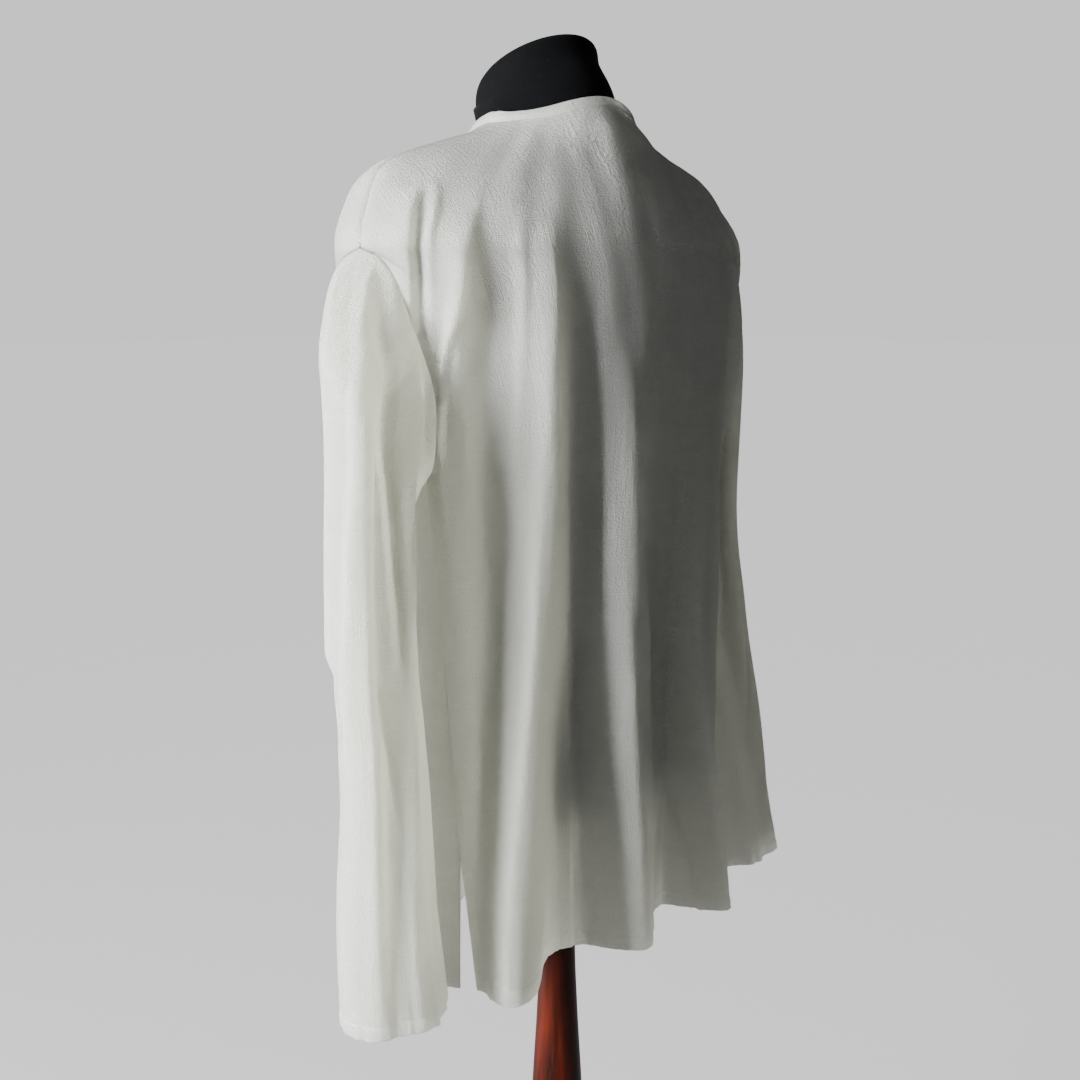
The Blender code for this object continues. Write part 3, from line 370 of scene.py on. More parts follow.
def panel_grid(side):
    """Places every crossing of a panel's threads: rows x columns x 3."""
    table, widths = angle_table(side)
    edge_z = np.concatenate([armhole_rows(side, ARM_ROWS), SIDE_ROWS])
    upper = len(edge_z) - len(HEM_ROWS)
    inner = np.abs(shares) <= NECK_SHARE + 1e-9
    top, start_x = np.empty(len(shares)), np.empty(len(shares))
    neck = neck_edge(np.clip(shares / NECK_SHARE, -1, 1), side)
    top[inner], start_x[inner] = neck[inner, 2], neck[inner, 0]
    height, wide = shoulder_line((np.abs(shares) - NECK_SHARE) / (1 - NECK_SHARE))
    top[~inner], start_x[~inner] = height[~inner], (np.sign(shares) * wide)[~inner]
    low = HEM_ROWS[0]
    edge_share = (ARMHOLE_TOP - edge_z[:upper + 1]) / (ARMHOLE_TOP - low)
    even = np.linspace(0, 1, upper + 1) ** 1.35
    grid = np.empty((len(edge_z), len(shares), 3))
    for j, share in enumerate(shares):
        blend = abs(share) ** 4
        down = even * (1 - blend) + edge_share * blend
        z = np.concatenate([top[j] - (top[j] - low) * down[:-1], HEM_ROWS])
        level = np.minimum(z, ARMHOLE_TOP)
        turn = lookup(table, np.full(len(z), share), level)
        part = ease((top[j] - z) / (SETTLE * (1 - abs(share) ** 6) + 1e-4))
        base_x = np.sin(turn) * radius_of(turn, level)
        goal_x = base_x * column_of(BODY, "half_width", z) / column_of(BODY, "half_width", level)
        mixed = start_x[j] + (goal_x - start_x[j]) * part
        turn = np.where(part < 1, angle_of(mixed, z, side), turn)
        grid[:, j] = body_point(turn, z, side)
    grid[0, inner] = neck[inner]
    return grid, widths


def join_sides(rows, columns=(0, -1)):
    """Makes a stretch of the back's and the front's side edges one line."""
    for column in columns:
        back[rows, column] = front[rows, column] = (back[rows, column] + front[rows, column]) / 2


back, back_widths = panel_grid(1)
front, front_widths = panel_grid(-1)
join_sides(slice(ARM_ROWS, None))
join_sides(0)
front[0, :SHOULDER_STEPS + 1] = back[0, :SHOULDER_STEPS + 1]
front[0, -SHOULDER_STEPS - 1:] = back[0, -SHOULDER_STEPS - 1:]
print("back is", round(float(back_widths[0]), 3), "m of cloth wide at the hem,",
      "front", round(float(front_widths[0]), 3), "m")

# %% [markdown]
# ## Creases laid by hand
# On top of the flutes lie smaller creases. Each row of a table is one ridge or trough: the heights
# it runs through, how many metres of cloth it lies from the panel's middle there, how far it
# stands out at those heights, and how wide it is on its two sides. A narrow side gives a sharp
# shadow edge, a wide one a slow roll.

# %% How a table of creases moves cloth
def normals_of(grid, closed, sign):
    """Outward normals of a grid of points."""
    if closed:
        across = np.roll(grid, -1, axis=1) - np.roll(grid, 1, axis=1)
    else:
        across = np.gradient(grid, axis=1)
    return unit(np.cross(across, np.gradient(grid, axis=0))) * sign


def crease_height(z, across, creases, length_round=None):
    """How far a table of creases, in millimetres, moves each point out."""
    out = np.zeros(z.shape)
    for _, *columns in creases:
        heights, places, far, plus, minus = (np.divide(column, 1000) for column in columns)
        gap = across - smooth(heights, places, z)
        if length_round is not None:
            gap = (gap + length_round / 2) % length_round - length_round / 2
        inside = (z < max(heights)) & (z > min(heights))
        out += np.where(inside, smooth(heights, far, z)
                        * bump(gap, np.where(gap > 0, plus, minus)), 0.0)
    return out


def slow_waves(z, across, strength):
    """Waves too slow and slight to be folds, so that no stretch of cloth is quite even."""
    first = np.sin(across * 71 + z * 9) * np.sin(z * 17 + across * 23 + 1)
    return strength * (first + 0.6 * np.sin(across * 143 - z * 13 + 2) * np.sin(z * 11 + 0.5))


def hem_pucker(above, across, strength):
    """Short puckers that the hem's stitching draws into the last of the cloth."""
    wave = np.sin(across * 410 + 1.3 * np.sin(across * 57)) + 0.5 * np.sin(across * 655 + 2)
    return strength * wave * ease(1 - above / 0.034)


# %% [markdown]
# The back's creases. A deep fold comes off the shoulder and runs on down the sleeve. A small one
# lies beside it, and a sharp one is dragged from the shoulder blade to the underarm. The wide
# flutes further right each end in a hard edge.

# %% Creases of the back
BACK_CREASES = (
    # name, then in millimetres: heights from the top down | places towards the wearer's left
    # | how far out | left and right widths
    ("shoulder_fold", (712, 700, 691, 673, 657, 637, 615, 560),
     (238, 241, 240, 237, 236, 238, 242, 244), (0, 3, 5, 6.8, 7.2, 7, 6.2, 0), 30, 4.5),
    ("beside_it", (712, 692, 671, 651, 615, 575), (236, 232, 229, 230, 234, 237),
     (0, -1.5, -3, -4, -4, 0), 6, 8),
    ("small_fold", (716, 702, 684, 663, 643, 619, 580), (236, 226, 221, 219, 222, 225, 229),
     (0, 2.2, 3.4, 3.2, 2.4, 1.8, 0), 8, 7),
    ("drag_fold", (706, 693, 671, 642, 606, 570, 533, 490, 430, 330),
     (187, 185, 185, 190, 198, 211, 219, 224, 227, 228), (0, 1, 2.6, 4.5, 6.2, 7.4, 8, 7, 4.5, 0),
     16, 7.5),
    ("under_drag", (690, 656, 631, 583, 522, 472, 380, 300),
     (172, 176, 180, 189, 200, 208, 210, 210), (0, -0.6, -1.4, -2.2, -2.4, -2, -1, 0), 12, 36),
    ("first_edge", (690, 640, 547, 426, 354, 280, 201, 119, 35, -10),
     (108, 109, 113, 112, 112, 111, 107, 103, 99, 98), (0, 1.5, 3.5, 4.5, 5, 5, 5, 4, 3, 3), 24, 8),
    ("first_crest", (600, 530, 445, 324, 184, 52, -10), (118, 122, 131, 147, 168, 188, 194),
     (0, 1.2, 2, 2.2, 2, 1.2, 1), 14, 10),
    ("after_first", (620, 547, 426, 280, 119, -10), (94, 95, 95, 92, 83, 78),
     (0, -1.5, -3, -3, -2, -2), 11, 30),
    ("second_edge", (580, 455, 344, 304, 244, 178, 86, -10), (30, 20, 8, -4, -14, -24, -44, -60),
     (0, 2, 3, 3.8, 4.5, 4.5, 4, 3), 24, 9),
    ("after_second", (480, 344, 244, 120, -10), (4, -10, -32, -62, -80),
     (0, -1.8, -2.8, -2.2, -1.5), 12, 30),
    ("third_edge", (560, 428, 331, 231, 123, -10), (-90, -92, -96, -110, -130, -150),
     (0, 1.5, 2.5, 3, 3, 2.5), 20, 10),
    ("blade_left", (700, 640, 560, 470), (136, 140, 147, 156), (0, 1.8, 1.6, 0), 12, 10),
    ("middle_streak", (640, 540, 430, 330), (68, 66, 62, 56), (0, -1.6, -1.4, 0), 18, 14),
    ("right_streak", (650, 520, 400, 300), (-22, -26, -36, -50), (0, 1.6, 1.4, 0), 14, 20),
    ("right_drag", (700, 640, 580, 520, 460, 380), (-160, -178, -196, -208, -220, -224),
     (0, 4, 7, 8, 5, 0), 16, 12),
    ("right_shoulder_fold", (715, 680, 650, 610, 570), (-202, -220, -236, -243, -243),
     (0, 4, 6, 4, 0), 9, 22),
    ("under_right_drag", (640, 560, 480, 380), (-156, -176, -190, -200), (0, -5, -4, 0), 30, 14),
)

# %% [markdown]
# The photograph hides the front, so it gets creases like the ones that the back shows: two drag
# folds to the underarms, and flutes with one hard edge each, none of them a mirror of another.

# %% Creases of the front
FRONT_CREASES = (
    ("left_drag", (690, 640, 590, 540, 490, 420), (150, 172, 190, 206, 230, 262),
     (0, 4, 7, 8, 6, 0), 13, 20),
    ("right_drag", (700, 650, 600, 550, 500, 430), (-146, -166, -186, -204, -226, -258),
     (0, 5, 8, 9, 6, 0), 22, 11),
    ("left_edge", (560, 430, 300, 150, -10), (128, 136, 146, 156, 164), (0, 3, 4.5, 5, 4), 26, 9),
    ("middle_edge", (480, 360, 240, 120, -10), (18, 22, 24, 20, 14), (0, 2.5, 4, 4.5, 3.5), 10, 26),
    ("right_edge", (590, 450, 310, 170, -10), (-122, -134, -150, -160, -170), (0, 3, 5, 5, 4), 10,
     24),
    ("left_streak", (620, 520, 400, 310), (72, 76, 80, 82), (0, -1.8, -1.6, 0), 16, 20),
    ("right_streak", (640, 540, 420, 330), (-66, -70, -78, -84), (0, 1.8, 1.6, 0), 18, 14),
    ("slit_end", (660, 640, 600, 540), (2, 1, -4, -10), (0, 1.4, 2, 0), 12, 12),
    ("side_left", (440, 330, 200, 80, -10), (224, 232, 238, 244, 248), (0, 3, 4, 3, 2), 16, 22),
    ("side_right", (430, 320, 210, 90, -10), (-220, -228, -238, -246, -250), (0, 3.5, 4, 3, 2), 22,
     14),
)

# %% Laying the panels' creases
REACH = 1.9                  # angle to either side of a panel's middle that the distances cover


def distance_table(side):
    """Metres of cloth from a panel's middle to each angle, level by level."""
    turns = REACH * SHARES if side > 0 else np.pi - REACH * SHARES
    runs = [run_along(body_point(turns, z, side)) for z in LEVELS]
    return np.array([run - run[len(run) // 2] for run in runs])


def panel_creases(grid, widths, creases, sign):
    """Moves a panel's cloth by its creases, less and less towards its shoulder and side seams."""
    z = grid[..., 2]
    turn = np.arctan2(grid[..., 0], sign * grid[..., 1])
    across = lookup(distance_table(sign), turn / REACH, np.minimum(z, ARMHOLE_TOP))
    room = np.interp(z, LEVELS, widths) / 2 * (1 - np.abs(shares))
    below = ease((ARMHOLE_END + 0.03 - z) / 0.03)
    held = ease(down_from_top(grid) / 0.022) * (1 - below * (1 - ease(room / 0.020)))
    out = (crease_height(z, across, creases) + slow_waves(z, across, 0.0007)
           + hem_pucker(z, across, 0.00035))
    return grid + normals_of(grid, False, sign) * (out * held)[..., None]


back = panel_creases(back, back_widths, BACK_CREASES, 1)
front = panel_creases(front, front_widths, FRONT_CREASES, -1)
join_sides(slice(ARM_ROWS, None))
print("the folds stand out to", round(float(back[..., 1].max()), 3), "m behind the column")

# %% [markdown]
# ## Sleeves
# A straight-cut sleeve is a tube. At the top it is sewn round the armhole, and below it falls
# free, flattened front to back, with one deep pleat behind where the spare cloth folds in. Level
# sections again: where the tube hangs, its long and short half sizes, and which way it is turned.

# %% Sections of the sleeves
LEFT_SLEEVE = dict(
    height=(0.680, 0.600, 0.500, 0.400, 0.300, 0.250, 0.200, 0.100, 0.000, -0.03),
    across=(0.239, 0.248, 0.256, 0.261, 0.260, 0.256, 0.255, 0.256, 0.252, 0.251),
    behind=(0.000, 0.018, 0.033, 0.038, 0.041, 0.043, 0.045, 0.048, 0.052, 0.053),
    long=(0.045, 0.058, 0.065, 0.066, 0.065, 0.064, 0.064, 0.062, 0.060, 0.060),
    short=(0.038, 0.038, 0.036, 0.035, 0.034, 0.034, 0.035, 0.039, 0.042, 0.042),
    turn=(45.0, 45.0, 45.0, 44.0, 42.0, 40.0, 38.0, 32.0, 25.0, 25.0),
    fold=(0.3, 0.8, 1.0, 1.0, 0.9, 0.8, 0.7, 0.5, 0.4, 0.4),
)
RIGHT_SLEEVE = dict(
    height=(0.680, 0.600, 0.500, 0.400, 0.280, 0.165, 0.045, 0.000, -0.03),
    across=(0.236, 0.242, 0.246, 0.247, 0.247, 0.249, 0.252, 0.254, 0.255),
    behind=(0.000, -0.018, -0.034, -0.045, -0.036, -0.018, 0.000, 0.008, 0.010),
    long=(0.045, 0.046, 0.052, 0.060, 0.063, 0.063, 0.062, 0.062, 0.062),
    short=(0.038, 0.036, 0.035, 0.035, 0.036, 0.038, 0.042, 0.044, 0.044),
    turn=(60.0, 75.0, 85.0, 88.0, 75.0, 55.0, 35.0, 28.0, 28.0),
    fold=(0.3, 0.8, 1.0, 1.0, 0.9, 0.7, 0.5, 0.4, 0.4),
)
LEFT_SLEEVE_FOLDS = (
    # name          angle   out    half-width in degrees
    ("valley",       24.0, -0.020, 22.0),
    ("crest",        52.0,  0.004, 20.0),
    ("inner",       150.0, -0.010, 30.0),
    ("front",       235.0, -0.012, 28.0),
)
RIGHT_SLEEVE_FOLDS = (
    ("valley",       30.0, -0.014, 26.0),
    ("inner",       140.0, -0.010, 30.0),
    ("front",       230.0, -0.014, 28.0),
    ("outer",       300.0, -0.006, 24.0),
)
CUFF_END = dict(left=0.004, right=0.000)


def sleeve_section(table, folds, z):
    """A closed section of a hanging sleeve from its outer side round by the back, and its length."""
    across, behind = column_of(table, "across", z), column_of(table, "behind", z)
    long, short = column_of(table, "long", z), column_of(table, "short", z)
    turn, depth = math.radians(column_of(table, "turn", z)), column_of(table, "fold", z)
    psi = np.linspace(0, 2 * math.pi, 1081) - turn
    power = 2.3
    s, c = np.abs(np.sin(psi)), np.abs(np.cos(psi))
    radius = ((c / long) ** power + (s / short) ** power) ** (-1 / power)
    px, py = radius * np.cos(psi), radius * np.sin(psi)
    nx = np.sign(px) * (np.abs(px) / long) ** (power - 1) / long
    ny = np.sign(py) * (np.abs(py) / short) ** (power - 1) / short
    length = np.hypot(nx, ny)
    polar = np.degrees(np.arctan2(py, px))
    out = np.zeros_like(px)
    for _, angle, far, width in folds:
        gap = np.abs((polar - angle + 180.0) % 360.0 - 180.0)
        out += far * depth * np.where(gap < width, (1 + np.cos(np.pi * gap / width)) / 2, 0.0)
    px, py = px + out * nx / length, py + out * ny / length
    x = across + px * math.cos(turn) - py * math.sin(turn)
    y = behind + px * math.sin(turn) + py * math.cos(turn)
    run = np.concatenate([[0.0], np.cumsum(np.hypot(np.diff(x), np.diff(y)))])
    at = np.linspace(0, run[-1], 361)
    return np.stack([np.interp(at, run, x), np.interp(at, run, y)], -1), run[-1]


# %% [markdown]
# From the seam down, each point leaves the armhole and eases over to the hanging section. It does
# so quickly on top, where the sleeve drops off the shoulder, and slowly under the arm.

# %% Placing a sleeve
SLEEVE_RINGS = 150
CUFF_ROWS = np.array([0.015, 0.0132, 0.0124, 0.012, 0.0116, 0.0104, 0.007, 0.0035, 0.0012, 0.0])
HANG_TOP, HANG_STEP = 0.69, 0.006     # the hanging sections are made at even levels


def sleeve_grid(loop, table, folds, end):
    """Outer face of a sleeve as a left one: rings from the armhole down, closed round."""
    levels = np.linspace(HANG_TOP, -0.03, 121)
    stack = np.array([sleeve_section(table, folds, z)[0] for z in levels])
    run = run_along(np.concatenate([loop, loop[:1]]))
    share = run[:-1] / run[-1]
    around = np.minimum(share, 1 - share) * 2
    fall = 0.095 - 0.020 * ease(around)
    power = 1.0 - 0.20 * ease(around)
    under = ease((around - 0.55) / 0.40)
    low = end + CUFF_ROWS[0]
    parts = (np.arange(SLEEVE_RINGS + 1) / SLEEVE_RINGS) ** 1.25
    heights = [loop[:, 2] + (low - loop[:, 2]) * part for part in parts[:-1]]
    heights += [np.full(len(loop), end + d) for d in CUFF_ROWS]
    grid = np.empty((len(heights), len(loop), 3))
    for k, z in enumerate(heights):
        level = np.clip((HANG_TOP - z) / HANG_STEP, 0, 119.99999)
        hanging = read_table(stack, level, np.clip(share * 360, 0, 359.99999))
        drop = loop[:, 2] - z
        gone = np.clip(drop / fall, 0, 1)
        quick = (1 - (1 - gone) ** 2) ** power
        leave = np.stack([quick, quick * (1 - under) + ease(drop / (fall + 0.035)) * under], -1)
        flat = loop[:, :2] * (1 - leave) + hanging * leave
        turn = np.arctan2(flat[:, 0], flat[:, 1])
        least = radius_of(turn, z) + 0.0075 * ease(drop / 0.008) + 0.0006
        flat *= np.maximum(1.0, least / np.hypot(flat[:, 0], flat[:, 1]))[:, None]
        grid[k, :, :2] = flat
        grid[k, :, 2] = z
    grid[0] = loop
    return grid


def armhole_ring(column):
    """The armhole at one side of the panels, with a point halfway between each two."""
    loop = np.concatenate([back[:ARM_ROWS + 1, column], front[1:ARM_ROWS, column][::-1]])
    ring = np.repeat(loop, 2, axis=0)
    ring[1::2] = (loop + np.roll(loop, -1, axis=0)) / 2
    return ring


armhole, right_armhole = armhole_ring(-1), armhole_ring(0)
right_armhole[:, 0] *= -1                                     # both sleeves are made as left ones
left = sleeve_grid(armhole, LEFT_SLEEVE, LEFT_SLEEVE_FOLDS, CUFF_END["left"])
right = sleeve_grid(right_armhole, RIGHT_SLEEVE, RIGHT_SLEEVE_FOLDS, CUFF_END["right"])
armhole_length = float(run_along(np.concatenate([armhole, armhole[:1]]))[-1])
cuff_length = float(sleeve_section(LEFT_SLEEVE, LEFT_SLEEVE_FOLDS, 0.0)[1])
print("armhole", round(armhole_length, 3), "m round, cuff", round(cuff_length, 3), "m")

# %% [markdown]
# The sleeves have creases of their own, measured round from the top of the sleeve by the back. The
# left one carries on the fold that comes off the shoulder. The right one is mostly out of sight,
# so its creases are the left one's, moved, shortened and eased.

# %% Creases of the sleeves
LEFT_CREASES = (
    # name, then in millimetres: heights from the top down | places round from the outside, by
    # the back | how far out | widths after and before
    ("outer_ridge", (640, 600, 553, 503, 431, 374, 297, 240), (14, 40, 62, 61, 52, 44, 30, 26),
     (1, 3, 3.8, 4, 4, 3.6, 2.4, 0), 20, 13),
    ("deep_pleat", (640, 592, 530, 469, 406, 366, 331, 290),
     (32, 64, 112, 130, 129, 128, 124, 120), (0, -5, -8, -9, -8.5, -7, -4, 0), 8, 13),
    ("rear_ridge", (650, 600, 550, 499, 447, 405, 350, 250),
     (48, 80, 121, 154, 164, 162, 160, 156), (0, 4, 5, 5.6, 5.4, 4.6, 3, 0), 6, 20),
    ("behind_ridge", (600, 550, 499, 447, 405, 350, 280), (94, 134, 168, 178, 176, 173, 170),
     (0, -6, -9, -9, -7, -4, 0), 26, 10),
    ("long_line", (370, 349, 294, 255, 215, 160), (70, 73, 88, 86, 83, 82),
     (0, -1.6, -2.4, -2.2, -1.8, 0), 7, 5),
    ("front_face", (560, 505, 432, 376, 336, 300), (14, 15, 14, 12, 8, 4), (0, 2, 3, 4.5, 5, 0),
     18, 20),
    ("elbow_break", (330, 305, 280, 245), (0, 2, 4, 6), (0, -4, -4.5, 0), 26, 30),
    ("cuff_ridge", (190, 115, 58, -10), (52, 49, 45, 43), (0, 2.2, 3.2, 3.6), 14, 16),
    ("cuff_ridge_behind", (180, 100, 48, -10), (108, 104, 98, 94), (0, 2.6, 4.2, 5), 14, 12),
    ("cuff_hollow", (160, 90, 30, -10), (76, 73, 70, 68), (0, -2, -3.4, -4), 13, 13),
    ("cuff_inner", (150, 80, -10), (146, 140, 134), (0, -3, -4.6), 16, 18),
    ("front_ridge", (600, 480, 340, 200, 80, -10), (268, 270, 272, 270, 266, 262),
     (0, 3, 4, 3.6, 3, 3), 18, 12),
    ("front_hollow", (560, 430, 300, 150), (236, 238, 240, 238), (0, -4, -3.6, 0), 14, 16),
    ("gather_1", (650, 636, 612, 580), (-10, -8, 4, 14), (0, 2.6, 1.6, 0), 6, 5),
    ("gather_2", (650, 638, 620, 598), (5, 10, 20, 28), (0, -1.2, -1, 0), 5, 5),
    ("gather_3", (648, 634, 612, 574), (22, 25, 36, 52), (0, 2.8, 2, 0), 5, 6),
    ("gather_4", (648, 636, 616, 590), (-26, -24, -14, -6), (0, 2.4, 1.6, 0), 7, 6),
    ("gather_5", (646, 632, 606, 570), (-44, -42, -34, -28), (0, -1.3, -1, 0), 7, 7),
)
RIGHT_CREASES = (
    ("outer_ridge", (620, 540, 440, 350, 260), (24, 50, 58, 54, 46), (0, 3, 4, 3.2, 0), 18, 14),
    ("deep_pleat", (620, 540, 450, 360, 270), (58, 104, 122, 124, 120), (0, -6, -8, -6, 0), 10, 13),
    ("rear_ridge", (630, 560, 470, 380, 300), (66, 112, 146, 150, 146), (0, 5, 5, 3.4, 0), 11, 12),
    ("long_line", (320, 250, 180, 110), (76, 84, 86, 88), (0, -2.2, -2, 0), 6, 6),
    ("front_face", (500, 400, 300, 220), (10, 8, 4, 2), (0, 3, 3.6, 0), 18, 20),
    ("cuff_ridge", (210, 120, 50, -10), (30, 32, 34, 36), (0, 2.6, 4, 4.4), 14, 13),
    ("cuff_ridge_behind", (170, 90, -10), (104, 102, 100), (0, 3, 4.6), 13, 14),
    ("cuff_hollow", (150, 80, -10), (66, 68, 68), (0, -3, -4.4), 13, 14),
    ("front_ridge", (580, 440, 300, 160, -10), (262, 268, 270, 266, 260), (0, 3.2, 4, 3, 2.8), 14,
     16),
    ("front_hollow", (540, 410, 280, 130), (228, 232, 236, 236), (0, -4, -3.4, 0), 16, 14),
    ("gather_1", (650, 636, 612, 586), (-4, 0, 10, 18), (0, 2.6, 1.6, 0), 6, 5),
    ("gather_2", (648, 636, 616, 588), (14, 18, 30, 40), (0, -1.2, -1, 0), 6, 5),
    ("gather_3", (648, 634, 612, 580), (-34, -30, -22, -16), (0, 1.3, 1, 0), 6, 7),
)

# %% Laying the sleeves' creases
def sleeve_creases(grid, creases, end, sign):
    """Moves a sleeve's cloth by its creases, and raises a welt along its seam."""
    run = np.linalg.norm(np.roll(grid, -1, axis=1) - grid, axis=2)
    round_it = np.concatenate([np.zeros((len(run), 1)), np.cumsum(run, axis=1)[:, :-1]], 1)
    fallen = down_from_top(grid)
    z = grid[..., 2]
    out = (crease_height(z, round_it, creases, run.sum(1, keepdims=True))
           + slow_waves(z, round_it, 0.0006))
    out = out + hem_pucker(z - end, round_it, 0.0005)
    welt = 0.0009 * np.exp(-((fallen - 0.0045) / 0.0030) ** 2)
    moved = out * ease(fallen / 0.014) + welt * ease(fallen / 0.002)
    return grid + normals_of(grid, True, sign) * moved[..., None]


left = sleeve_creases(left, LEFT_CREASES, CUFF_END["left"], -1)
right = sleeve_creases(right, RIGHT_CREASES, CUFF_END["right"], -1)
right[..., 0] *= -1

# %% [markdown]
# ## Slits
# Below the slit's top the back and the front aren't sewn together, so each edge draws back a
# little into its own panel.

# %% Opening the side slits
def from_edge(grid, edge):
    """Metres from a panel's side edge, in the same row."""
    return np.linalg.norm(grid - grid[:, edge][:, None], axis=2)


def beside(edge):
    """The columns on the same side of the panel as this edge."""
    return np.abs(shares - shares[edge]) < 0.3


for grid in (back, front):
    draw = SLIT_OPEN / 2 * np.clip((SLIT_TOP - grid[:, 0, 2]) / SLIT_TOP, 0, 1)
    for edge, step in ((0, 1), (-1, -1)):
        ways = unit(grid[:, edge + 4 * step] - grid[:, edge])
        near = ease(1 - from_edge(grid, edge) / 0.035) * beside(edge)
        grid += ways[:, None] * (draw[:, None] * near)[..., None]

# %% [markdown]
# ## Seams and hems
# A seam is a fine groove, because the stitches pull it in. A turned hem is the opposite: three
# layers of cloth stand a little proud, and the line of stitches is a groove along its top.

# %% Grooves and turned edges
FAR = 9                      # added to a distance where the edge isn't sewn, so that no groove forms


def seam_groove(grid, fallen, sign, closed=False):
    """Draws a grid's sewn edge in by 0.6 mm."""
    depth = 0.0006 * np.exp(-(fallen / 0.0022) ** 2)
    return grid - normals_of(grid, closed, sign) * depth[..., None]


def turned_hem(grid, low, turn, sign, closed=False):
    """Raises the turned hem a little and sinks its line of stitches."""
    above = grid[..., 2] - low
    out = 0.0004 * ease((turn - above) / 0.002) - 0.0007 * np.exp(-((above - turn) / 0.0009) ** 2)
    return grid + normals_of(grid, closed, sign) * out[..., None]


def slit_hem(grid, sign):
    """The narrow hem along both edges of a panel below the slit's top."""
    for edge in (0, -1):
        room = from_edge(grid, edge) + FAR * ~beside(edge)
        open_here = ease((SLIT_TOP - grid[..., 2]) / 0.01)
        out = (0.0004 * ease((SLIT_TURN - room) / 0.002)
               - 0.0005 * np.exp(-((room - SLIT_TURN) / 0.0016) ** 2))
        grid = grid + normals_of(grid, False, sign) * (out * open_here)[..., None]
    return grid


edges = []
for grid, sign in ((back, 1), (front, -1)):
    sewn = np.minimum(from_edge(grid, 0), from_edge(grid, -1))
    sewn = sewn + FAR * ease((SLIT_TOP - grid[..., 2]) / 0.01)
    shoulder = down_from_top(grid) + FAR * (np.abs(shares) < NECK_SHARE)
    made = seam_groove(grid, np.minimum(sewn, shoulder), sign)
    edges.append(slit_hem(turned_hem(made, 0.0, HEM_TURN, sign), sign))
back, front = edges
for column in (0, -1):                                        # the seams stay closed
    join_sides(slice(ARM_ROWS, int(np.argmax(back[:, column, 2] < SLIT_TOP))), (column,))
join_sides(0, (slice(0, SHOULDER_STEPS + 1), slice(-SHOULDER_STEPS - 1, None)))
left = turned_hem(left, CUFF_END["left"], CUFF_TURN, -1, True)
right = turned_hem(right, CUFF_END["right"], CUFF_TURN, 1, True)
left[0], right[0] = armhole_ring(-1), armhole_ring(0)

# %% [markdown]
# ## From a grid to a piece of cloth
# `create_grid` makes the flat piece, a UV map in metres keeps the weave at its true size, and
# Solidify gives the cloth its thickness. A vertex group makes the turned hems thicker, because
# there the cloth is folded over twice.

# %% One piece of cloth
def mesh_from(bm, name):
    """Makes a bmesh a smooth-shaded mesh."""
    mesh = bpy.data.meshes.new(name)
    bm.to_mesh(mesh)
    bm.free()
    for polygon in mesh.polygons:
        polygon.use_smooth = True
    return mesh


def link(made):
    bpy.context.scene.collection.objects.link(made)
    return made


def grid_mesh(name, grid, closed, flip, flat_width, weights=None, slit=None):
    """A flat grid of quads carried to the grid's points, with a UV map in metres of cloth."""
    rows, columns = grid.shape[:2]
    across = columns if closed else columns - 1
    bm = bmesh.new()
    bmesh.ops.create_grid(bm, x_segments=across, y_segments=rows - 1, size=1.0)
    uv = bm.loops.layers.uv.new("cloth")
    thick = bm.verts.layers.deform.new()
    row, column = bm.verts.layers.int.new("row"), bm.verts.layers.int.new("column")
    down = down_from_top(grid)
    down = down[-1] - down
    for vert in bm.verts:
        vert[row] = i = round((1 - vert.co.y) / 2 * (rows - 1))
        vert[column] = j = round((vert.co.x + 1) / 2 * across)
        for loop in vert.link_loops:
            loop[uv].uv = (flat_width * j / across, down[i, j % columns])
        if weights is not None:
            vert[thick][0] = weights[i, j % columns]
        vert.co = grid[i, j % columns] + UP
    if slit:
        middle, length, half_open = slit
        cut = [e for e in bm.edges if all(v[column] == middle and v[row] <= length for v in e.verts)]
        bmesh.ops.split_edges(bm, edges=cut)
        for vert in bm.verts:
            if vert[column] == middle and vert[row] < length:
                beyond = sum(f.calc_center_median().x - vert.co.x for f in vert.link_faces)
                vert.co.x += (math.copysign(1.0, beyond) * half_open
                              * (1 - (vert[row] / length) ** 2))
    if closed:
        bmesh.ops.remove_doubles(bm, verts=bm.verts, dist=1e-6)
    if flip:
        bmesh.ops.reverse_faces(bm, faces=bm.faces)
    return mesh_from(bm, name)


def close_ends(mesh, poked=False):
    """Fills a tube's two ends, poked to a middle point if asked, and turns all faces outwards."""
    bm = bmesh.new()
    bm.from_mesh(mesh)
    ends = bmesh.ops.holes_fill(bm, edges=[e for e in bm.edges if e.is_boundary], sides=0)["faces"]
    if poked:
        bmesh.ops.poke(bm, faces=ends)
    bmesh.ops.recalc_face_normals(bm, faces=bm.faces)
    bm.to_mesh(mesh)
    bm.free()


def place(name, mesh):
    """Puts a mesh in the scene as a piece of the garment or its stand."""
    piece = link(bpy.data.objects.new(name, mesh))
    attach(piece, "root")
    print(name, len(mesh.polygons), "faces")
    return piece


def cloth_piece(name, grid, closed, flip, flat_width, turned, slit=None):
    """A cut piece: outer face on the grid's points, thicker where it is turned."""
    mesh = grid_mesh(name, grid, closed, flip, flat_width, turned, slit)
    piece = place(name, mesh)
    piece.vertex_groups.new(name="turned")
    wall = piece.modifiers.new("cloth thickness", "SOLIDIFY")
    wall.thickness = 2 * CLOTH
    wall.offset = -1.0
    wall.vertex_group = "turned"
    wall.thickness_vertex_group = 0.5
    return piece


def turned_edge(grid, low, sides=False):
    """1 on the turned hem, 0 on the single cloth."""
    turned = (grid[..., 2] <= low + 0.0001).astype(float)
    for edge in (0, -1) if sides else ():
        near = (from_edge(grid, edge) < SLIT_TURN) & (grid[..., 2] < SLIT_TOP) & beside(edge)
        turned = np.maximum(turned, near)
    return turned


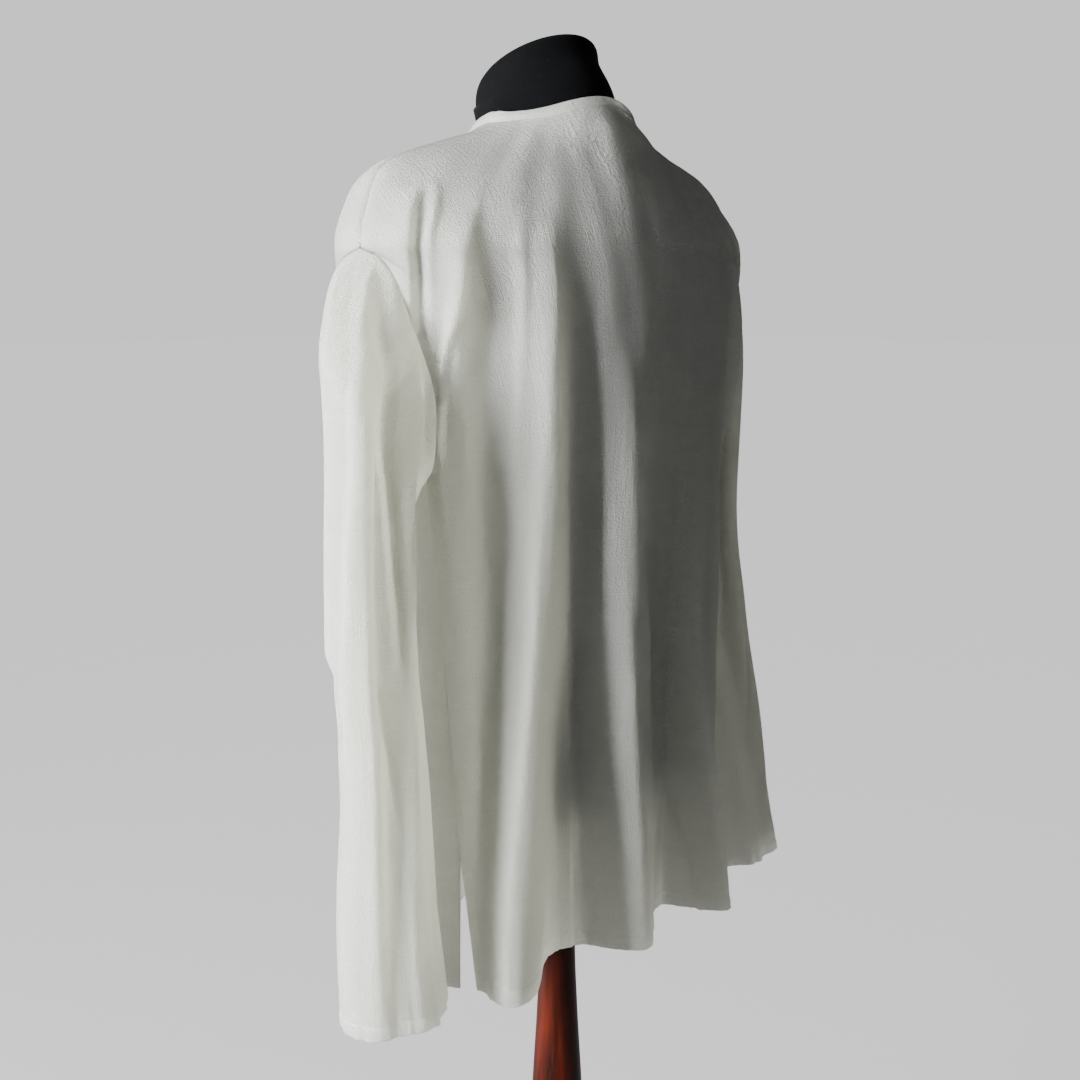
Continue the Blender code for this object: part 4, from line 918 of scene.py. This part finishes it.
BACK_ACROSS, FRONT_ACROSS, SLEEVE_ACROSS = 0.50, 0.62, 0.36   # metres of weave across each piece
MIDDLE = SHOULDER_STEPS + NECK_STEPS
SLIT_ROWS = int(np.argmin(np.abs(front[:, MIDDLE, 2] - (front[0, MIDDLE, 2] - NECK_SLIT))))
NECK_SLIT_OPEN = 0.0022      # how far each side of the neck slit stands from the middle
cloth_back = cloth_piece("cloth_back", back, False, True, BACK_ACROSS,
                         turned_edge(back, HEM_TURN, True))
cloth_front = cloth_piece("cloth_front", front, False, False, FRONT_ACROSS,
                          turned_edge(front, HEM_TURN, True),
                          slit=(MIDDLE, SLIT_ROWS, NECK_SLIT_OPEN))
cloth_left = cloth_piece("cloth_sleeve_left", left, True, False, SLEEVE_ACROSS,
                         turned_edge(left, CUFF_END["left"] + CUFF_TURN))
cloth_right = cloth_piece("cloth_sleeve_right", right, True, True, SLEEVE_ACROSS,
                          turned_edge(right, CUFF_END["right"] + CUFF_TURN))
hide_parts("back")
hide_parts("front")
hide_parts("sleeve_left")
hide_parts("sleeve_right")

# %% [markdown]
# ## Neck binding
# The neck edge is bound with a strip cut on the bias: it is folded round the raw edge, so it
# stands up from the panels and hides their top. It begins and ends at the front slit. A bias
# strip is one long even section, so its profile is carried along the neck line.

# %% The neck line
def neck_points(row):
    """A row of both panels' necks as one ring, by the back from the wearer's left."""
    behind, before = (grid[row, SHOULDER_STEPS:-SHOULDER_STEPS] for grid in (back, front))
    return np.concatenate([behind[::-1], before[1:-1]])


def even_ring(ring, values, count):
    """Values given at a closed line's points, read at equal distances along it."""
    run = run_along(np.concatenate([ring, ring[:1]]))
    at = np.linspace(0, run[-1], count, endpoint=False)
    return read_line(at, run, np.concatenate([values, values[:1]])), run[-1]


def soften_ring(values, times):
    for _ in range(times):
        values = (np.roll(values, 1, axis=0) + 2 * values + np.roll(values, -1, axis=0)) / 4
    return values


def square_to(line, way):
    """The part of each way that is square to the line, one unit long."""
    return unit(way - line * (way * line).sum(-1, keepdims=True))


NECK_STATIONS = 300
neck_ring = neck_points(0)
neck_down, _ = even_ring(neck_ring, neck_points(3) - neck_ring, NECK_STATIONS)
neck_ring, neck_length = even_ring(neck_ring, neck_ring, NECK_STATIONS)
along = unit(np.roll(neck_ring, -1, axis=0) - np.roll(neck_ring, 1, axis=0))
neck_down = soften_ring(square_to(along, neck_down), 12)
band_up = square_to(along, -neck_down + np.array([0.0, 0.0, 0.55]))
away = unit(np.cross(along, band_up))
away *= np.sign((away * (neck_ring - neck_ring.mean(0)) * [1, 1, 0]).sum(-1, keepdims=True))
cloth_away = unit(np.cross(along, -neck_down))
cloth_away *= np.sign((cloth_away * away).sum(-1, keepdims=True))
print("neck edge", round(neck_length, 3), "m round")

# %% [markdown]
# The strip's section is a flattened loop: its outer face swells a little between the stitches at
# the bottom and the rolled fold at the top.

# %% Making the binding
BAND_SECTION = (
    # share of its height, millimetres off the cloth's outer face
    (-0.14, 0.7), (-0.05, 1.1), (0.06, 1.0), (0.13, 0.6), (0.20, 1.1), (0.40, 1.5), (0.62, 1.4),
    (0.82, 1.0), (0.93, 0.5), (0.99, -0.2), (1.00, -0.9), (0.96, -1.6), (0.84, -2.1),
    (0.50, -2.4), (0.10, -2.4), (-0.10, -2.1), (-0.14, -1.2),
)
BAND_ACROSS, BAND_GAP = 0.022, 0.0026   # metres of weave across it, and its gap at the slit
order = np.argmin(neck_ring[:, 1])
stations = (np.arange(NECK_STATIONS + 1) + order) % NECK_STATIONS
sections = np.empty((NECK_STATIONS + 1, len(BAND_SECTION), 3))
for n, k in enumerate(stations):
    for m, (share, off) in enumerate(BAND_SECTION):
        lean = unit(cloth_away[k] * (1 - max(share, 0)) + away[k] * max(share, 0))
        sections[n, m] = neck_ring[k] + band_up[k] * BAND_WIDE * share + lean * off / 1000
gap = np.array([math.copysign(BAND_GAP, sections[3, 0, 0] - sections[0, 0, 0]), 0.0, 0.0])
for n in range(6):
    sections[n] += gap * (1 - n / 6)
    sections[-1 - n] -= gap * (1 - n / 6)
band_mesh = grid_mesh("neck_binding_cloth", sections, True, True, BAND_ACROSS)
close_ends(band_mesh)
binding = place("neck_binding_cloth", band_mesh)
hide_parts("neck_binding")

# %% [markdown]
# ## Stitches
# Thread holds the hems, the slits and the binding. Each stitch is a grain of thread, 2.4 mm long,
# set every 3 mm along its line. One small sphere, stretched, is enough for so small a thing.

# %% Laying a row of stitches
STITCH_EVERY = 0.0030
STITCH_HALF = (0.0012, 0.00026, 0.00022)   # half its length, width and height


def stitch_row(bm, line, normals, closed=False):
    """Adds a row of stitches along a line of points on the cloth."""
    if closed:
        line, normals = (np.concatenate([ring, ring[:1]]) for ring in (line, normals))
    run = run_along(line)
    for at in np.arange(STITCH_EVERY / 2, run[-1] - STITCH_EVERY / 2, STITCH_EVERY):
        here, ahead = read_line(at, run, line), read_line(at + 0.0008, run, line)
        out = unit(read_line(at, run, normals))
        way = unit(ahead - here)
        side = unit(np.cross(out, way))
        turn = Matrix((way, side, out)).transposed().to_4x4()
        size = Matrix.Diagonal((*STITCH_HALF, 1.0))
        bmesh.ops.create_uvsphere(bm, u_segments=6, v_segments=4, radius=1.0,
                                  matrix=Matrix.Translation(here + UP) @ turn @ size)


def stitches(name, rows):
    bm = bmesh.new()
    for line, normals, closed in rows:
        stitch_row(bm, line, normals, closed)
    return place(name, mesh_from(bm, name))


def hem_line(grid, low, turn, sign, closed):
    """The line of stitches along a hem, and the cloth's normals there."""
    k = int(np.argmin(np.abs(grid[:, 0, 2] - (low + turn))))
    return grid[k], normals_of(grid, closed, sign)[k], closed


def slit_lines(grid, sign):
    """The lines of stitches beside a panel's two slit edges."""
    normals = normals_of(grid, False, sign)
    lines = []
    for edge, step in ((0, 1), (-1, -1)):
        rows = [i for i in range(len(grid)) if HEM_TURN < grid[i, edge, 2] < SLIT_TOP]
        strips = [grid[i, ::step][:14] for i in rows]
        line = [read_line(SLIT_TURN, np.linalg.norm(strip - strip[0], axis=1), strip)
                for strip in strips]
        lines.append((np.array(line), normals[rows, edge + 2 * step], False))
    return lines


def panel_stitches(name, grid, sign):
    return stitches(name, [hem_line(grid, 0.0, HEM_TURN, sign, False), *slit_lines(grid, sign)])


thread_pieces = {
    "back": panel_stitches("stitches_back", back, 1),
    "front": panel_stitches("stitches_front", front, -1),
    "left": stitches("stitches_sleeve_left", [hem_line(left, CUFF_END["left"], CUFF_TURN, -1,
                                                       True)]),
    "right": stitches("stitches_sleeve_right", [hem_line(right, CUFF_END["right"], CUFF_TURN, 1,
                                                         True)]),
    "neck": stitches("stitches_neck", [(sections[2:-2, 3], cloth_away[stations][2:-2], False)]),
}

# %% [markdown]
# ## Dress form
# The limbless form is a padded torso covered in black jersey. Only its neck shows, and its lower
# edge as a darker patch through the cloth. It is lofted through level rings: a plain torso below,
# then rings that keep just inside the cloth over the shoulders, and the neck with its slanted top.

# %% Rings of the form
FORM = dict(
    height=(0.124, 0.132, 0.150, 0.210, 0.330, 0.450, 0.550, 0.620, 0.670, 0.705),
    half_width=(0.110, 0.130, 0.142, 0.148, 0.136, 0.152, 0.176, 0.192, 0.202, 0.2070),
    back=(0.050, 0.064, 0.071, 0.078, 0.084, 0.094, 0.104, 0.107, 0.103, 0.0980),
    front=(0.060, 0.076, 0.085, 0.094, 0.098, 0.108, 0.118, 0.119, 0.116, 0.1110),
)
FORM_NECK = dict(
    height=(0.776, 0.788, 0.800, 0.815, 0.835, 0.850),
    half_width=(0.0680, 0.0680, 0.0665, 0.0635, 0.0605, 0.0600),
    back=(0.0550, 0.0510, 0.0475, 0.0420, 0.0290, 0.0200),
    front=(0.0870, 0.0865, 0.0860, 0.0850, 0.0840, 0.0830),
)
NECK_TILT = 0.52
UNDER_CLOTH, FORM_SLACK = 0.0022, 0.004
form_turns = -np.linspace(0, 2 * math.pi, 120, endpoint=False)
s, c = np.sin(form_turns), np.cos(form_turns)


def torso_ring(z):
    wide = column_of(FORM, "half_width", z)
    deep = np.where(c >= 0, column_of(FORM, "back", z), column_of(FORM, "front", z))
    radius = ((np.abs(s) / wide) ** 2.2 + (np.abs(c) / deep) ** 2.2) ** (-1 / 2.2)
    return np.stack([radius * s, radius * c, np.full(len(s), z)], -1)


def shoulder_ring(z, more):
    """A ring just inside the cloth, a little lower off the shoulder line and at the throat."""
    def plain(level):
        radius = radius_of(form_turns, np.full(len(s), level))
        return np.stack([radius * s, radius * c, np.full(len(s), level)], -1)
    throat = 0.012 * ease((z - 0.690) / 0.040) * np.clip(-c, 0, 1) ** 2
    inside = UNDER_CLOTH + more + FORM_SLACK * (1 - np.abs(s) ** 60) + throat
    here = plain(z)
    round_it = np.roll(here, -1, axis=0) - np.roll(here, 1, axis=0)
    normal = unit(np.cross(plain(z + 0.001) - plain(z - 0.001), round_it))
    way = np.sign((normal * here * [1, 1, 0]).sum(-1, keepdims=True) + 1e-12)
    return here - normal * way * inside[:, None]


def neck_ring_of(share, z):
    """A ring of the form's neck, its top sloping down towards the front."""
    level = min(z, 0.840)
    back_to, front_to = column_of(FORM_NECK, "back", level), column_of(FORM_NECK, "front", level)
    middle, deep = (back_to - front_to) / 2, (back_to + front_to) / 2
    size = share if z > 0.845 else 1.0
    ring = np.stack([size * column_of(FORM_NECK, "half_width", level) * s, middle + size * deep * c,
                     np.full(len(s), z)], -1)
    ring[:, 2] -= NECK_TILT * (back_to - ring[:, 1]) * ease((z - 0.785) / 0.055)
    return ring


form_rings = [torso_ring(z) for z in (0.124, 0.127, 0.132, 0.140, 0.150, 0.170, 0.210, 0.270,
                                      0.330, 0.390, 0.450,
                                      0.500, 0.550, 0.590, 0.620, 0.650, 0.670)]
form_rings += [shoulder_ring(z, more) for z, more in (
    (0.702, 0.0), (0.708, 0.0), (0.714, 0.0), (0.719, 0.0), (0.724, 0.0), (0.728, 0.0),
    (0.731, 0.0), (0.734, 0.0),
    (0.7365, 0.0), (0.739, 0.0), (0.742, 0.0), (0.7445, 0.0002), (0.747, 0.0005), (0.752, 0.0015),
    (0.757, 0.003),
    (0.762, 0.005), (0.767, 0.007))]
collar = form_rings[-1]
for share, z in ((0.45, 0.776), (0.85, 0.788)):
    ring = neck_ring_of(1.0, z)
    ring[:, :2] = collar[:, :2] * (1 - share) + ring[:, :2] * share
    ring[:, 2] = np.maximum(collar[:, 2] + (z - 0.767) * 0.9,
                            ring[:, 2] * share + collar[:, 2] * (1 - share))
    form_rings.append(ring)
form_rings += [neck_ring_of(share, z) for share, z in (
    (1.0, 0.800), (1.0, 0.806), (1.0, 0.812), (1.0, 0.820), (1.0, 0.828), (1.0, 0.837),
    (1.0, 0.8445), (0.996, 0.8475),
    (0.985, 0.8505), (0.965, 0.8530), (0.935, 0.8550), (0.87, 0.8570), (0.70, 0.8578),
    (0.45, 0.8584), (0.20, 0.8586))]

# %% Lofting the form
form_mesh = grid_mesh("dress_form", np.array(form_rings), True, False, 1.0)
close_ends(form_mesh, poked=True)
for polygon in form_mesh.polygons:
    polygon.use_smooth = True
dress_form = place("dress_form", form_mesh)
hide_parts("form_torso")

# %% [markdown]
# ## Stand
# The column and its foot were turned on a lathe, and Blender's lathe is `spin`: a profile drawn
# beside the axis and carried once round it.

# %% Turning the stand
COLUMN = dict(
    height=(0.029, 0.044, 0.054, 0.066, 0.086, 0.130, 0.200, 0.300, 0.400, 0.500, 0.580, 0.650,
            0.720, 0.8037),
    radius=(0.040, 0.040, 0.033, 0.026, 0.024, 0.029, 0.0335, 0.0335, 0.0295, 0.0253, 0.0207,
            0.0180, 0.0175, 0.0175),
)
FOOT_PROFILE = ((0.000, 0.174), (0.0012, 0.1775), (0.004, 0.184), (0.007, 0.1856), (0.011, 0.186),
                (0.016, 0.186),
                (0.0185, 0.1852), (0.0215, 0.1825), (0.0235, 0.178), (0.0255, 0.170),
                (0.0275, 0.160), (0.0286, 0.120),
                (0.0287, 0.060))


def turned_piece(name, profile, node):
    """Spins a profile of heights and radii once round the upright axis."""
    bm = bmesh.new()
    verts = [bm.verts.new((radius, 0.0, z)) for z, radius in profile]
    verts = ([bm.verts.new((0.0, 0.0, profile[0][0]))] + verts
             + [bm.verts.new((0.0, 0.0, profile[-1][0]))])
    outline = [bm.edges.new(pair) for pair in zip(verts[:-1], verts[1:])]
    bmesh.ops.spin(bm, geom=verts + outline, cent=(0, 0, 0), axis=(0, 0, 1), angle=2 * math.pi,
                   steps=96, use_merge=True)
    bmesh.ops.remove_doubles(bm, verts=bm.verts, dist=1e-6)
    bmesh.ops.recalc_face_normals(bm, faces=bm.faces)
    mesh = bpy.data.meshes.new(name)
    bm.to_mesh(mesh)
    bm.free()
    for polygon in mesh.polygons:
        polygon.use_smooth = abs(polygon.normal.z) < 0.97
    piece = place(name, mesh)
    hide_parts(node)
    return piece


column_heights = np.concatenate([np.linspace(0.029, 0.13, 46), np.linspace(0.13, 0.8037, 60)[1:]])
column_profile = [(float(z), float(column_of(COLUMN, "radius", z))) for z in column_heights]
column = turned_piece("turned_column", column_profile, "column")
foot = turned_piece("turned_foot", FOOT_PROFILE, "base")

# %% [markdown]
# ## Materials
# The cloth is thin, so light also comes through it: a translucent shader is mixed with the plain
# one. Its pattern is read from the UV map in metres, so it follows the threads down every fold.
# Cotton spun unevenly has slubs, short thick places in a thread, and it dries with a fine
# crinkle that runs with the warp.

# %% Helpers for shader nodes
def node(tree, kind, settings=None, **inputs):
    """Adds a node; inputs are numbers, colours or other nodes' outputs."""
    made = tree.nodes.new(kind)
    for name, value in (settings or {}).items():
        setattr(made, name, value)
    for name, value in inputs.items():
        socket = made.inputs[int(name[1:])] if name[0] == "i" and name[1:].isdigit() else made.inputs[name.replace("_", " ")]
        if isinstance(value, bpy.types.NodeSocket):
            tree.links.new(value, socket)
        else:
            socket.default_value = value
    return made


def math_node(tree, operation, a, b=0.0):
    return node(tree, "ShaderNodeMath", {"operation": operation}, i0=a, i1=b).outputs[0]


def scaled(tree, vector, size):
    return node(tree, "ShaderNodeVectorMath", {"operation": "MULTIPLY"}, i0=vector,
                i1=size).outputs[0]


def noise(tree, vector, scale, detail=2.0, rough=0.5):
    return node(tree, "ShaderNodeTexNoise", Vector=vector, Scale=scale, Detail=detail,
                Roughness=rough).outputs["Fac"]


def between(tree, value, low, high, to_low=0.0, to_high=1.0):
    """Maps a value from low..high to to_low..to_high, gently and without going past."""
    return node(tree, "ShaderNodeMapRange", {"interpolation_type": "SMOOTHSTEP"}, Value=value,
                From_Min=low, From_Max=high,
                To_Min=to_low, To_Max=to_high).outputs["Result"]


def group(name, inputs, outputs):
    """An empty node group with vector inputs and float outputs."""
    tree = bpy.data.node_groups.new(name, "ShaderNodeTree")
    for socket in inputs:
        tree.interface.new_socket(socket, in_out="INPUT", socket_type="NodeSocketVector")
    for socket in outputs:
        tree.interface.new_socket(socket, in_out="OUTPUT", socket_type="NodeSocketFloat")
    return tree, tree.nodes.new("NodeGroupInput"), tree.nodes.new("NodeGroupOutput")


# %% [markdown]
# The weave group is shared by the tunic's cloth and its thread. It takes a place in metres of
# cloth and gives back a height, and how dense the cloth is there.

# %% The weave
weave, weave_in, weave_out = group("slub weave", ["Place"], ["Height", "Density"])
place_in = weave_in.outputs["Place"]
crinkle = noise(weave, scaled(weave, place_in, (620.0, 380.0, 1.0)), 1.0, 3.0, 0.62)
streak = noise(weave, scaled(weave, place_in, (240.0, 18.0, 1.0)), 1.0, 2.0, 0.5)
grain = noise(weave, scaled(weave, place_in, (760.0, 620.0, 1.0)), 1.0, 2.0, 0.6)
weft_slub = between(weave, noise(weave, scaled(weave, place_in, (24.0, 640.0, 1.0)), 1.0, 1.0),
                    0.53, 0.66)
warp_slub = between(weave, noise(weave, scaled(weave, place_in, (640.0, 18.0, 1.0)), 1.0, 1.0),
                    0.54, 0.67)
warp = node(weave, "ShaderNodeTexWave", {"bands_direction": "X"}, Vector=place_in, Scale=330.0,
            Distortion=0.6).outputs["Fac"]
weft = node(weave, "ShaderNodeTexWave", {"bands_direction": "Y"}, Vector=place_in, Scale=330.0,
            Distortion=0.6).outputs["Fac"]
threads = math_node(weave, "MULTIPLY", math_node(weave, "ADD", warp, weft), 0.05)
slubs = math_node(weave, "MAXIMUM", weft_slub, math_node(weave, "MULTIPLY", warp_slub, 0.8))
height = math_node(weave, "ADD", math_node(weave, "MULTIPLY", crinkle, 0.95),
                   math_node(weave, "MULTIPLY", streak, 0.40))
height = math_node(weave, "ADD", height, math_node(weave, "MULTIPLY", grain, 0.22))
height = math_node(weave, "ADD", height, math_node(weave, "MULTIPLY", slubs, 0.14))
weave.links.new(math_node(weave, "ADD", height, threads), weave_out.inputs["Height"])
dense = math_node(weave, "ADD", math_node(weave, "MULTIPLY", slubs, 0.55),
                  math_node(weave, "MULTIPLY", grain, 0.45))
weave.links.new(dense, weave_out.inputs["Density"])


def weave_node(tree, place_of):
    made = tree.nodes.new("ShaderNodeGroup")
    made.node_tree = weave
    tree.links.new(place_of, made.inputs["Place"])
    return made.outputs["Height"], made.outputs["Density"]


# %% Cloth and thread
def soft_material(name, pale, thin, through, amount, depth, from_uv):
    """A plain shader mixed with light that comes through; pale and thin are the two colours."""
    made = bpy.data.materials.new(name)
    made.use_nodes = True
    tree = made.node_tree
    shader = tree.nodes["Principled BSDF"]
    if from_uv:
        at = node(tree, "ShaderNodeUVMap", {"uv_map": "cloth"}).outputs["UV"]
    else:
        at = node(tree, "ShaderNodeTexCoord").outputs["Object"]
    tall, dense_here = weave_node(tree, at)
    colour = node(tree, "ShaderNodeMix", {"data_type": "RGBA"}, i0=dense_here, i6=thin,
                  i7=pale).outputs[2]
    relief = node(tree, "ShaderNodeBump", Strength=1.0, Distance=depth,
                  Height=tall).outputs["Normal"]
    tree.links.new(colour, shader.inputs["Base Color"])
    tree.links.new(relief, shader.inputs["Normal"])
    shader.inputs["Roughness"].default_value = 0.88
    shader.inputs["Specular IOR Level"].default_value = 0.25
    shader.inputs["Sheen Weight"].default_value = 0.12
    shader.inputs["Sheen Roughness"].default_value = 0.5
    back_light = node(tree, "ShaderNodeBsdfTranslucent", Color=through)
    tree.links.new(relief, back_light.inputs["Normal"])
    both = node(tree, "ShaderNodeMixShader", i0=amount, i1=shader.outputs[0],
                i2=back_light.outputs[0])
    tree.links.new(both.outputs[0], tree.nodes["Material Output"].inputs["Surface"])
    return made


cotton = soft_material("slubbed_cotton", (0.880, 0.885, 0.870, 1.0), (0.700, 0.712, 0.690, 1.0),
                       (0.91, 0.91, 0.86, 1.0),
                       0.75, 0.0028, True)
thread = soft_material("sewing_thread", (0.90, 0.90, 0.885, 1.0), (0.82, 0.82, 0.80, 1.0),
                       (0.85, 0.84, 0.80, 1.0),
                       0.10, 0.0002, False)
for piece in (cloth_back, cloth_front, cloth_left, cloth_right, binding):
    piece.data.materials.append(cotton)
for piece in thread_pieces.values():
    piece.data.materials.append(thread)

# %% [markdown]
# The form is covered in black jersey, which has fine ribs and catches a little dust. The wood is
# stained red-brown and varnished: streaks run along the grain, fine rings are left by the
# turner's tool, and the varnish gives the gloss.

# %% Jersey and wood
jersey = bpy.data.materials.new("black_jersey")
jersey.use_nodes = True
tree = jersey.node_tree
shader = tree.nodes["Principled BSDF"]
at = node(tree, "ShaderNodeTexCoord").outputs["Object"]
ribs = noise(tree, scaled(tree, at, (900.0, 900.0, 260.0)), 1.0, 2.0)
wear = noise(tree, at, 26.0, 4.0, 0.6)
dust = between(tree, noise(tree, at, 620.0, 1.0), 0.70, 0.80)
dark = node(tree, "ShaderNodeMix", {"data_type": "RGBA"}, i0=wear,
            i6=(0.0008, 0.0009, 0.0011, 1.0), i7=(0.0020, 0.0022, 0.0026, 1.0))
dusty = node(tree, "ShaderNodeMix", {"data_type": "RGBA"}, i0=math_node(tree, "MULTIPLY", dust,
                                                                        0.02), i6=dark.outputs[2],
             i7=(0.28, 0.27, 0.25, 1.0))
tree.links.new(dusty.outputs[2], shader.inputs["Base Color"])
tree.links.new(node(tree, "ShaderNodeBump", Strength=0.6, Distance=0.0004,
                    Height=ribs).outputs["Normal"],
               shader.inputs["Normal"])
shader.inputs["Roughness"].default_value = 0.82
shader.inputs["Specular IOR Level"].default_value = 0.03
shader.inputs["Sheen Weight"].default_value = 0.01
dress_form.data.materials.append(jersey)

wood = bpy.data.materials.new("varnished_wood")
wood.use_nodes = True
tree = wood.node_tree
shader = tree.nodes["Principled BSDF"]
at = node(tree, "ShaderNodeTexCoord").outputs["Object"]
streaks = noise(tree, scaled(tree, at, (60.0, 60.0, 4.5)), 1.0, 5.0, 0.6)
pores = between(tree, noise(tree, scaled(tree, at, (900.0, 900.0, 22.0)), 1.0, 2.0), 0.58, 0.72)
stain = noise(tree, at, 7.0, 3.0)
rings = noise(tree, scaled(tree, at, (3.0, 3.0, 900.0)), 1.0, 2.0)
tone = node(tree, "ShaderNodeValToRGB", Fac=between(tree, streaks, 0.30, 0.72))
tone.color_ramp.elements[0].color = (0.011, 0.0014, 0.0006, 1.0)
tone.color_ramp.elements[1].color = (0.055, 0.0062, 0.0018, 1.0)
mottled = node(tree, "ShaderNodeMix", {"data_type": "RGBA", "blend_type": "MULTIPLY"},
               i0=between(tree, stain, 0.35, 0.7, 0.0, 0.45),
               i6=tone.outputs[0], i7=(0.45, 0.36, 0.34, 1.0))
grained = node(tree, "ShaderNodeMix", {"data_type": "RGBA"}, i0=math_node(tree, "MULTIPLY", pores,
                                                                          0.55),
               i6=mottled.outputs[2],
               i7=(0.018, 0.006, 0.004, 1.0))
tree.links.new(grained.outputs[2], shader.inputs["Base Color"])
relief = math_node(tree, "ADD", math_node(tree, "MULTIPLY", rings, 0.5),
                   math_node(tree, "MULTIPLY", streaks, 0.4))
tree.links.new(node(tree, "ShaderNodeBump", Strength=0.5, Distance=0.0003,
                    Height=relief).outputs["Normal"],
               shader.inputs["Normal"])
tree.links.new(between(tree, pores, 0.0, 1.0, 0.30, 0.48), shader.inputs["Roughness"])
shader.inputs["Specular IOR Level"].default_value = 0.14
shader.inputs["Coat Weight"].default_value = 0.05
shader.inputs["Coat Roughness"].default_value = 0.18
for piece in (column, foot):
    piece.data.materials.append(wood)

# %% [markdown]
# ## Floor, light and camera
# A pale sheet of paper, one soft window of light from the wearer's left, and a second, weak light
# low in front: that is what makes the folds read. The world gives every ray but the camera's a
# soft glow that is stronger on the window's side.

# %% Floor and world
floor_mesh = bpy.data.meshes.new("floor")
bm = bmesh.new()
bmesh.ops.create_grid(bm, x_segments=1, y_segments=1, size=40.0)
bm.to_mesh(floor_mesh)
bm.free()
floor = bpy.data.objects.new("floor", floor_mesh)
bpy.context.scene.collection.objects.link(floor)
paper = bpy.data.materials.new("floor_paper")
paper.use_nodes = True
paper_shader = paper.node_tree.nodes["Principled BSDF"]
paper_shader.inputs["Base Color"].default_value = (0.09, 0.09, 0.09, 1.0)
paper_shader.inputs["Roughness"].default_value = 0.95
paper_shader.inputs["Specular IOR Level"].default_value = 0.0
paper_shader.inputs["Emission Color"].default_value = (1.0, 1.0, 1.0, 1.0)
path = paper.node_tree.nodes.new("ShaderNodeLightPath")
lit = paper.node_tree.nodes.new("ShaderNodeMapRange")
lit.inputs["To Min"].default_value, lit.inputs["To Max"].default_value = FLOOR_GLOW, BACKDROP
paper.node_tree.links.new(path.outputs["Is Camera Ray"], lit.inputs["Value"])
paper.node_tree.links.new(lit.outputs["Result"], paper_shader.inputs["Emission Strength"])
floor_mesh.materials.append(paper)

world = bpy.data.worlds.new("studio")
world.use_nodes = True
nodes, links = world.node_tree.nodes, world.node_tree.links
seen = nodes["Background"]
seen.inputs["Color"].default_value = (1.0, 1.0, 1.0, 1.0)
seen.inputs["Strength"].default_value = BACKDROP
glow = nodes.new("ShaderNodeBackground")
glow.inputs["Strength"].default_value = 1.0
direction = nodes.new("ShaderNodeTexCoord")
towards = nodes.new("ShaderNodeVectorMath")
towards.operation = "DOT_PRODUCT"
towards.inputs[1].default_value = (math.sin(math.radians(80)) * 0.9,
                                   -math.cos(math.radians(80)) * 0.9, 0.43)
span = nodes.new("ShaderNodeMapRange")
span.inputs["From Min"].default_value, span.inputs["From Max"].default_value = -1.0, 1.0
span.inputs["To Min"].default_value, span.inputs["To Max"].default_value = GLOW_LOW, GLOW_HIGH
links.new(direction.outputs["Generated"], towards.inputs[0])
links.new(towards.outputs["Value"], span.inputs["Value"])
links.new(span.outputs["Result"], glow.inputs["Color"])
path = nodes.new("ShaderNodeLightPath")
choice = nodes.new("ShaderNodeMixShader")
links.new(path.outputs["Is Camera Ray"], choice.inputs[0])
links.new(glow.outputs[0], choice.inputs[1])
links.new(seen.outputs[0], choice.inputs[2])
links.new(choice.outputs[0], nodes["World Output"].inputs["Surface"])
bpy.context.scene.world = world


# %% Lights
def softbox(name, azimuth, height, distance, size, power, aim):
    """A rectangular soft light that faces a point; azimuth runs from the front to the wearer's left."""
    lamp = bpy.data.lights.new(name, "AREA")
    lamp.shape = "RECTANGLE"
    lamp.size, lamp.size_y = size
    lamp.energy = power
    turn = math.radians(azimuth)
    spot = Vector((math.sin(turn) * distance, -math.cos(turn) * distance, height))
    facing = (Vector(aim) - spot).to_track_quat("-Z", "Y").to_matrix().to_4x4()
    light = link(bpy.data.objects.new(name, lamp))
    light.matrix_world = Matrix.Translation(spot) @ facing


softbox("window", *WINDOW)
softbox("front light", *FRONT_LIGHT)

# %% Camera
CAMERA_AZIMUTH, CAMERA_DISTANCE, CAMERA_HEIGHT = 134.5, 1.44, 0.617 + SLEEVE_END
CAMERA_PITCH, CAMERA_YAW = 9.2, 0.70
turn = math.radians(CAMERA_AZIMUTH)
spot = Vector((math.sin(turn) * CAMERA_DISTANCE, -math.cos(turn) * CAMERA_DISTANCE, CAMERA_HEIGHT))
heading = Matrix.Rotation(math.radians(CAMERA_AZIMUTH + CAMERA_YAW), 4, "Z")
tilt = Matrix.Rotation(math.radians(90.0 - CAMERA_PITCH), 4, "X")
lens = bpy.data.cameras.new("camera")
lens.lens, lens.sensor_width = 50.0, 36.0
camera = bpy.data.objects.new("camera", lens)
camera.matrix_world = Matrix.Translation(spot) @ heading @ tilt
bpy.context.scene.collection.objects.link(camera)
bpy.context.scene.camera = camera
print("camera looks along", [round(v, 4) for v in (heading @ tilt @ Vector((0, 0, -1, 0)))[:3]])
